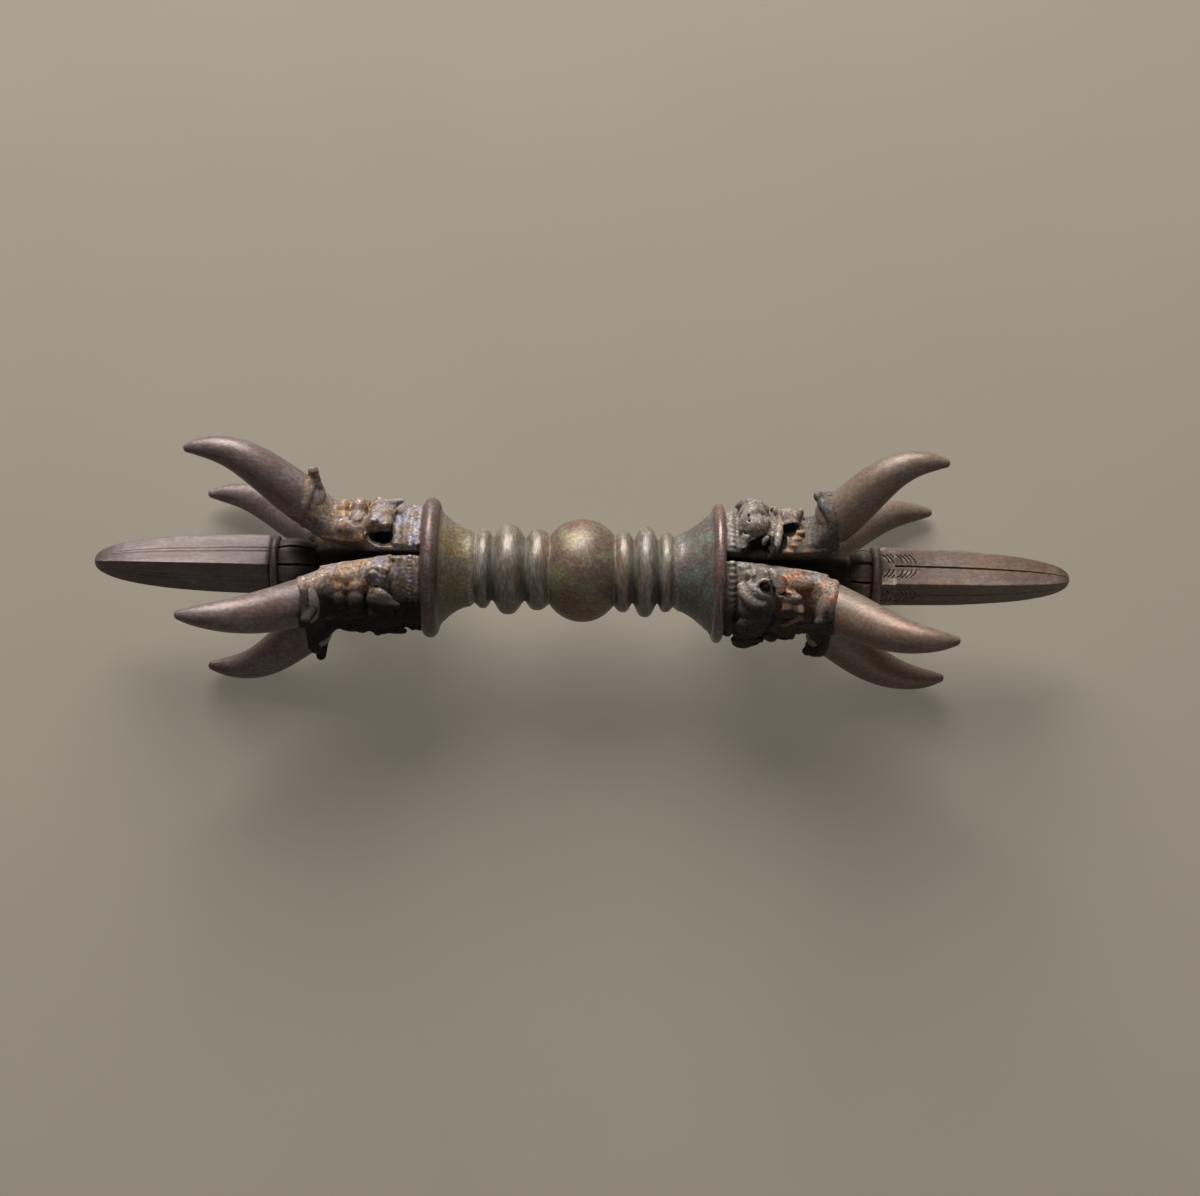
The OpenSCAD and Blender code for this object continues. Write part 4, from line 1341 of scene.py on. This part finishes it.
beads = {
    "left": {
        "upper": {
            "eye": ((10.0, 7.0, 15.7), (0.8, 0.7, 0.7)),
            "eyeCorner": ((7.6, 7.2, 14.9), (0.8, 0.7, 0.7)),
            "pearl": ((17.8, 3.5, 14.2), (0.6, 0.5, 0.5)),
            "pearlTwo": ((17.6, 5.4, 12.9), (0.5, 0.45, 0.45)),
            "pearlThree": ((20.2, 3.4, 14.8), (0.6, 0.5, 0.5)),
        },
        "lower": {
            "eye": ((9.95, 6.1, 13.7), (1.0, 0.75, 0.75)),
            "lid": ((7.3, 6.6, 12.8), (0.8, 0.7, 0.7)),
            "lidTwo": ((6.9, 7.0, 11.8), (0.6, 0.6, 0.6)),
            "fold": ((15.9, 5.7, 12.4), (0.9, 0.8, 0.8)),
            "foldTwo": ((19.6, 5.2, 12.3), (0.9, 0.7, 0.7)),
        },
    },
    "right": {
        "lower": {
            "eye": ((8.6, 4.7, 13.7), (0.9, 0.9, 0.8)),
            "ear": ((4.5, 7.9, 10.6), (0.9, 0.8, 1.0)),
            "lip": ((22.0, 2.0, 17.4), (0.9, 0.8, 0.8)),
        },
    },
}
teeth = {
    "end": "right", "count": 4, "from": (16.5, 3.5, 12.9), "to": (13.8, 7.0, 9.9), "size": (1.2, 0.75, 0.5),
    "reach": 1.45,
}
# Hollows whose faces get the near-black painted shade material
shadedHollows = {
    "left": {"upper": ("deep",)},
    "right": {
        "upper": ("mouth", "deep", "teethGap", "lipGap", "underTeeth"), "lower": ("eyeSocket", "nostrilHole"),
    },
}
# Bead row on a collar: along, up, half length, half width, turn from bead to bead
collarBeads = {"left": (2.0, 13.9, 0.55, 0.42, 3.8), "right": (1.2, 13.6, 0.95, 0.72, 5.6)}
lines = {
    "left": {
        "both": {
            "crest": [(10.0, 1.4, 16.5, 0.22), (8.0, 1.5, 17.0, 0.22), (6.0, 1.1, 17.4, 0.2)],
            "brow": [(12.8, 1.4, 17.2, 0.25), (14.9, 1.4, 17.2, 0.25)],
            "nose": [(16.3, 1.3, 16.7, 0.25), (18.4, 1.3, 16.6, 0.25)],
        },
        "upper": {"eye": eyeRing((10.0, 7.2, 15.9), radians(60), 1.5, 1.35, 0.3)},
        "lower": {"eye": eyeRing((9.95, 6.2, 14.1), 0.6, 1.3, 1.1, 0.3)},
    },
    "right": {
        "both": {
            "snout": [(12.6, 0.9, 16.6, 0.25), (15.0, 0.9, 16.2, 0.25)],
            "hood": [(3.2, 2.2, 17.0, 0.25), (5.0, 2.6, 18.0, 0.25), (8.4, 2.8, 16.7, 0.22)],
            "hoodSide": [(3.8, 4.6, 15.6, 0.25), (5.6, 4.8, 16.2, 0.25), (8.2, 4.4, 15.9, 0.22)],
        },
        "upper": {
            "streak": [
                (4.9, 2.6, 16.9, 0.3), (4.8, 4.2, 16.9, 0.32), (4.7, 5.6, 16.2, 0.3),
                (4.6, 6.3, 15.2, 0.3),
            ],
            "streakTwo": [(6.5, 3.2, 17.3, 0.28), (6.7, 4.6, 17.1, 0.3), (6.9, 5.8, 16.4, 0.28)],
            "streakThree": [
                (7.9, 2.4, 16.7, 0.3), (8.2, 4.0, 16.7, 0.32), (8.5, 5.2, 16.1, 0.3),
                (8.7, 6.0, 15.1, 0.28),
            ],
        },
    },
}


def inHead(end, along, aside, up):
    return (places[end]["face"] + along * mm, aside * mm, up * mm)


def strandsOf(end, table):
    made = []
    for flank, group in table[end].items():
        for side in flanks[flank]:
            for points in group.values():
                made.append(strand([(*inHead(end, x, side * y, z), r * mm) for x, y, z, r in points]))
    return made


def headBall(end, side, place, size):
    along, aside, up = place
    return ballAt(inHead(end, along, side * aside, up), [mm * s for s in size])


def ballsOf(end, table):
    made = []
    for flank, group in table[end].items():
        for side in flanks[flank]:
            made += [headBall(end, side, *ball) for ball in group.values()]
    return made


def headBody(end):
    stations = []
    for along, top, base, wide in bodies[end]:
        middle = (top + base) / 2
        stations.append((inHead(end, along, 0, middle), 0, wide * mm, (top - base) / 2 * mm))
    body = growAlong("head_body", stations, head["sides"])
    bpy.ops.object.mode_set(mode="EDIT")
    for side in (-1, 1):
        bpy.ops.mesh.select_all(action="SELECT")
        bpy.ops.mesh.bisect(
            plane_co=(0, 0, head["gap"]), plane_no=(0, side, -1), use_fill=True, clear_outer=True
        )
    bpy.ops.object.mode_set(mode="OBJECT")
    return body


def beadsOf(end):
    along, up, halfLong, halfWide, step = collarBeads[end]
    made = []
    count = int(2 * head["beadEnd"] / step)
    for i in range(count + 1):
        turn = radians(step * (i - count / 2))
        place = (along, up * sin(turn), up * cos(turn))
        made.append(headBall(end, 1, place, (halfLong, halfWide, halfWide)))
    return made


def toothPlaces():
    first, last = Vector(teeth["from"]), Vector(teeth["to"])
    return [first.lerp(last, i / (teeth["count"] - 1)) for i in range(teeth["count"])]


def teethOf(end):
    if end != teeth["end"]:
        return []
    return [headBall(end, flanks["upper"][0], place, teeth["size"]) for place in toothPlaces()]


def onTooth(place):
    for along, aside, up in toothPlaces():
        away = place - Vector((along, flanks["upper"][0] * aside, up))
        if sum((away[i] / teeth["size"][i]) ** 2 for i in range(3)) < teeth["reach"]:
            return True
    return False


def runsOf(flank, points):
    knots = [(Vector((x, flanks[flank][0] * y, z)), r) for x, y, z, r in points]
    return list(zip(knots, knots[1:]))


def shadedCuts(end):
    cuts, kept = [], []
    for flank, names in shadedHollows[end].items():
        for name in names:
            cuts += runsOf(flank, hollows[end][flank][name])
        for points in fineRidges[end][flank].values():
            kept += runsOf(flank, points)
    return cuts, kept


def inCut(place, cuts):
    for (near, nearR), (far, farR) in cuts:
        run = far - near
        share = min(1, max(0, (place - near).dot(run) / run.length_squared))
        if (place - near - share * run).length < nearR + share * (farR - nearR) + head["shadePast"]:
            return True
    return False


def remesh(piece):
    return applyModifier(piece, "REMESH", mode="VOXEL", voxel_size=head["voxel"], adaptivity=0)


def fuse(name, pieces):
    return remesh(tidySkin(joinAll(name, pieces)))


def carveOut(piece, name, end, table):
    cutAway(piece, fuse(name, strandsOf(end, table)))


def makeHead(end):
    master = fuse(end + "_head", [headBody(end)] + strandsOf(end, ridges) + ballsOf(end, lumps))
    carveOut(master, end + "_hollows", end, hollows)
    details = strandsOf(end, fineRidges) + ballsOf(end, beads) + beadsOf(end) + teethOf(end)
    master = fuse(end + "_head", [master] + details)
    carveOut(master, end + "_lines", end, lines)
    remesh(master)
    applyModifier(master, "SMOOTH", factor=head["smooth"], iterations=head["passes"])
    looks = [finishes["head_" + end], finishes["hollowShade"]]
    if end == teeth["end"]:
        looks.append(finishes["tooth"])
    # Faces in the shaded hollows, away from the fine ridges set in them, get the near-black painted shade
    # material
    cuts, kept = shadedCuts(end)
    for side in master.data.polygons:
        place = (side.center - Vector(inHead(end, 0, 0, 0))) / mm
        if end == teeth["end"] and onTooth(place):
            side.material_index = 2
        elif inCut(place, cuts) and not inCut(place, kept):
            side.material_index = 1
    for spot, turn in spots.items():
        node = end + "_head_" + spot
        piece = copyTo(master, node, end, turn)
        castWaver(piece, head["waverSize"], head["waver"])
        finishPiece(smoothShade(piece), node, "head_bronze", *looks)
    print(end, "head has", len(master.data.polygons), "faces")
    bpy.data.objects.remove(master)


for end in ends:
    makeHead(end)
print("heads carved")
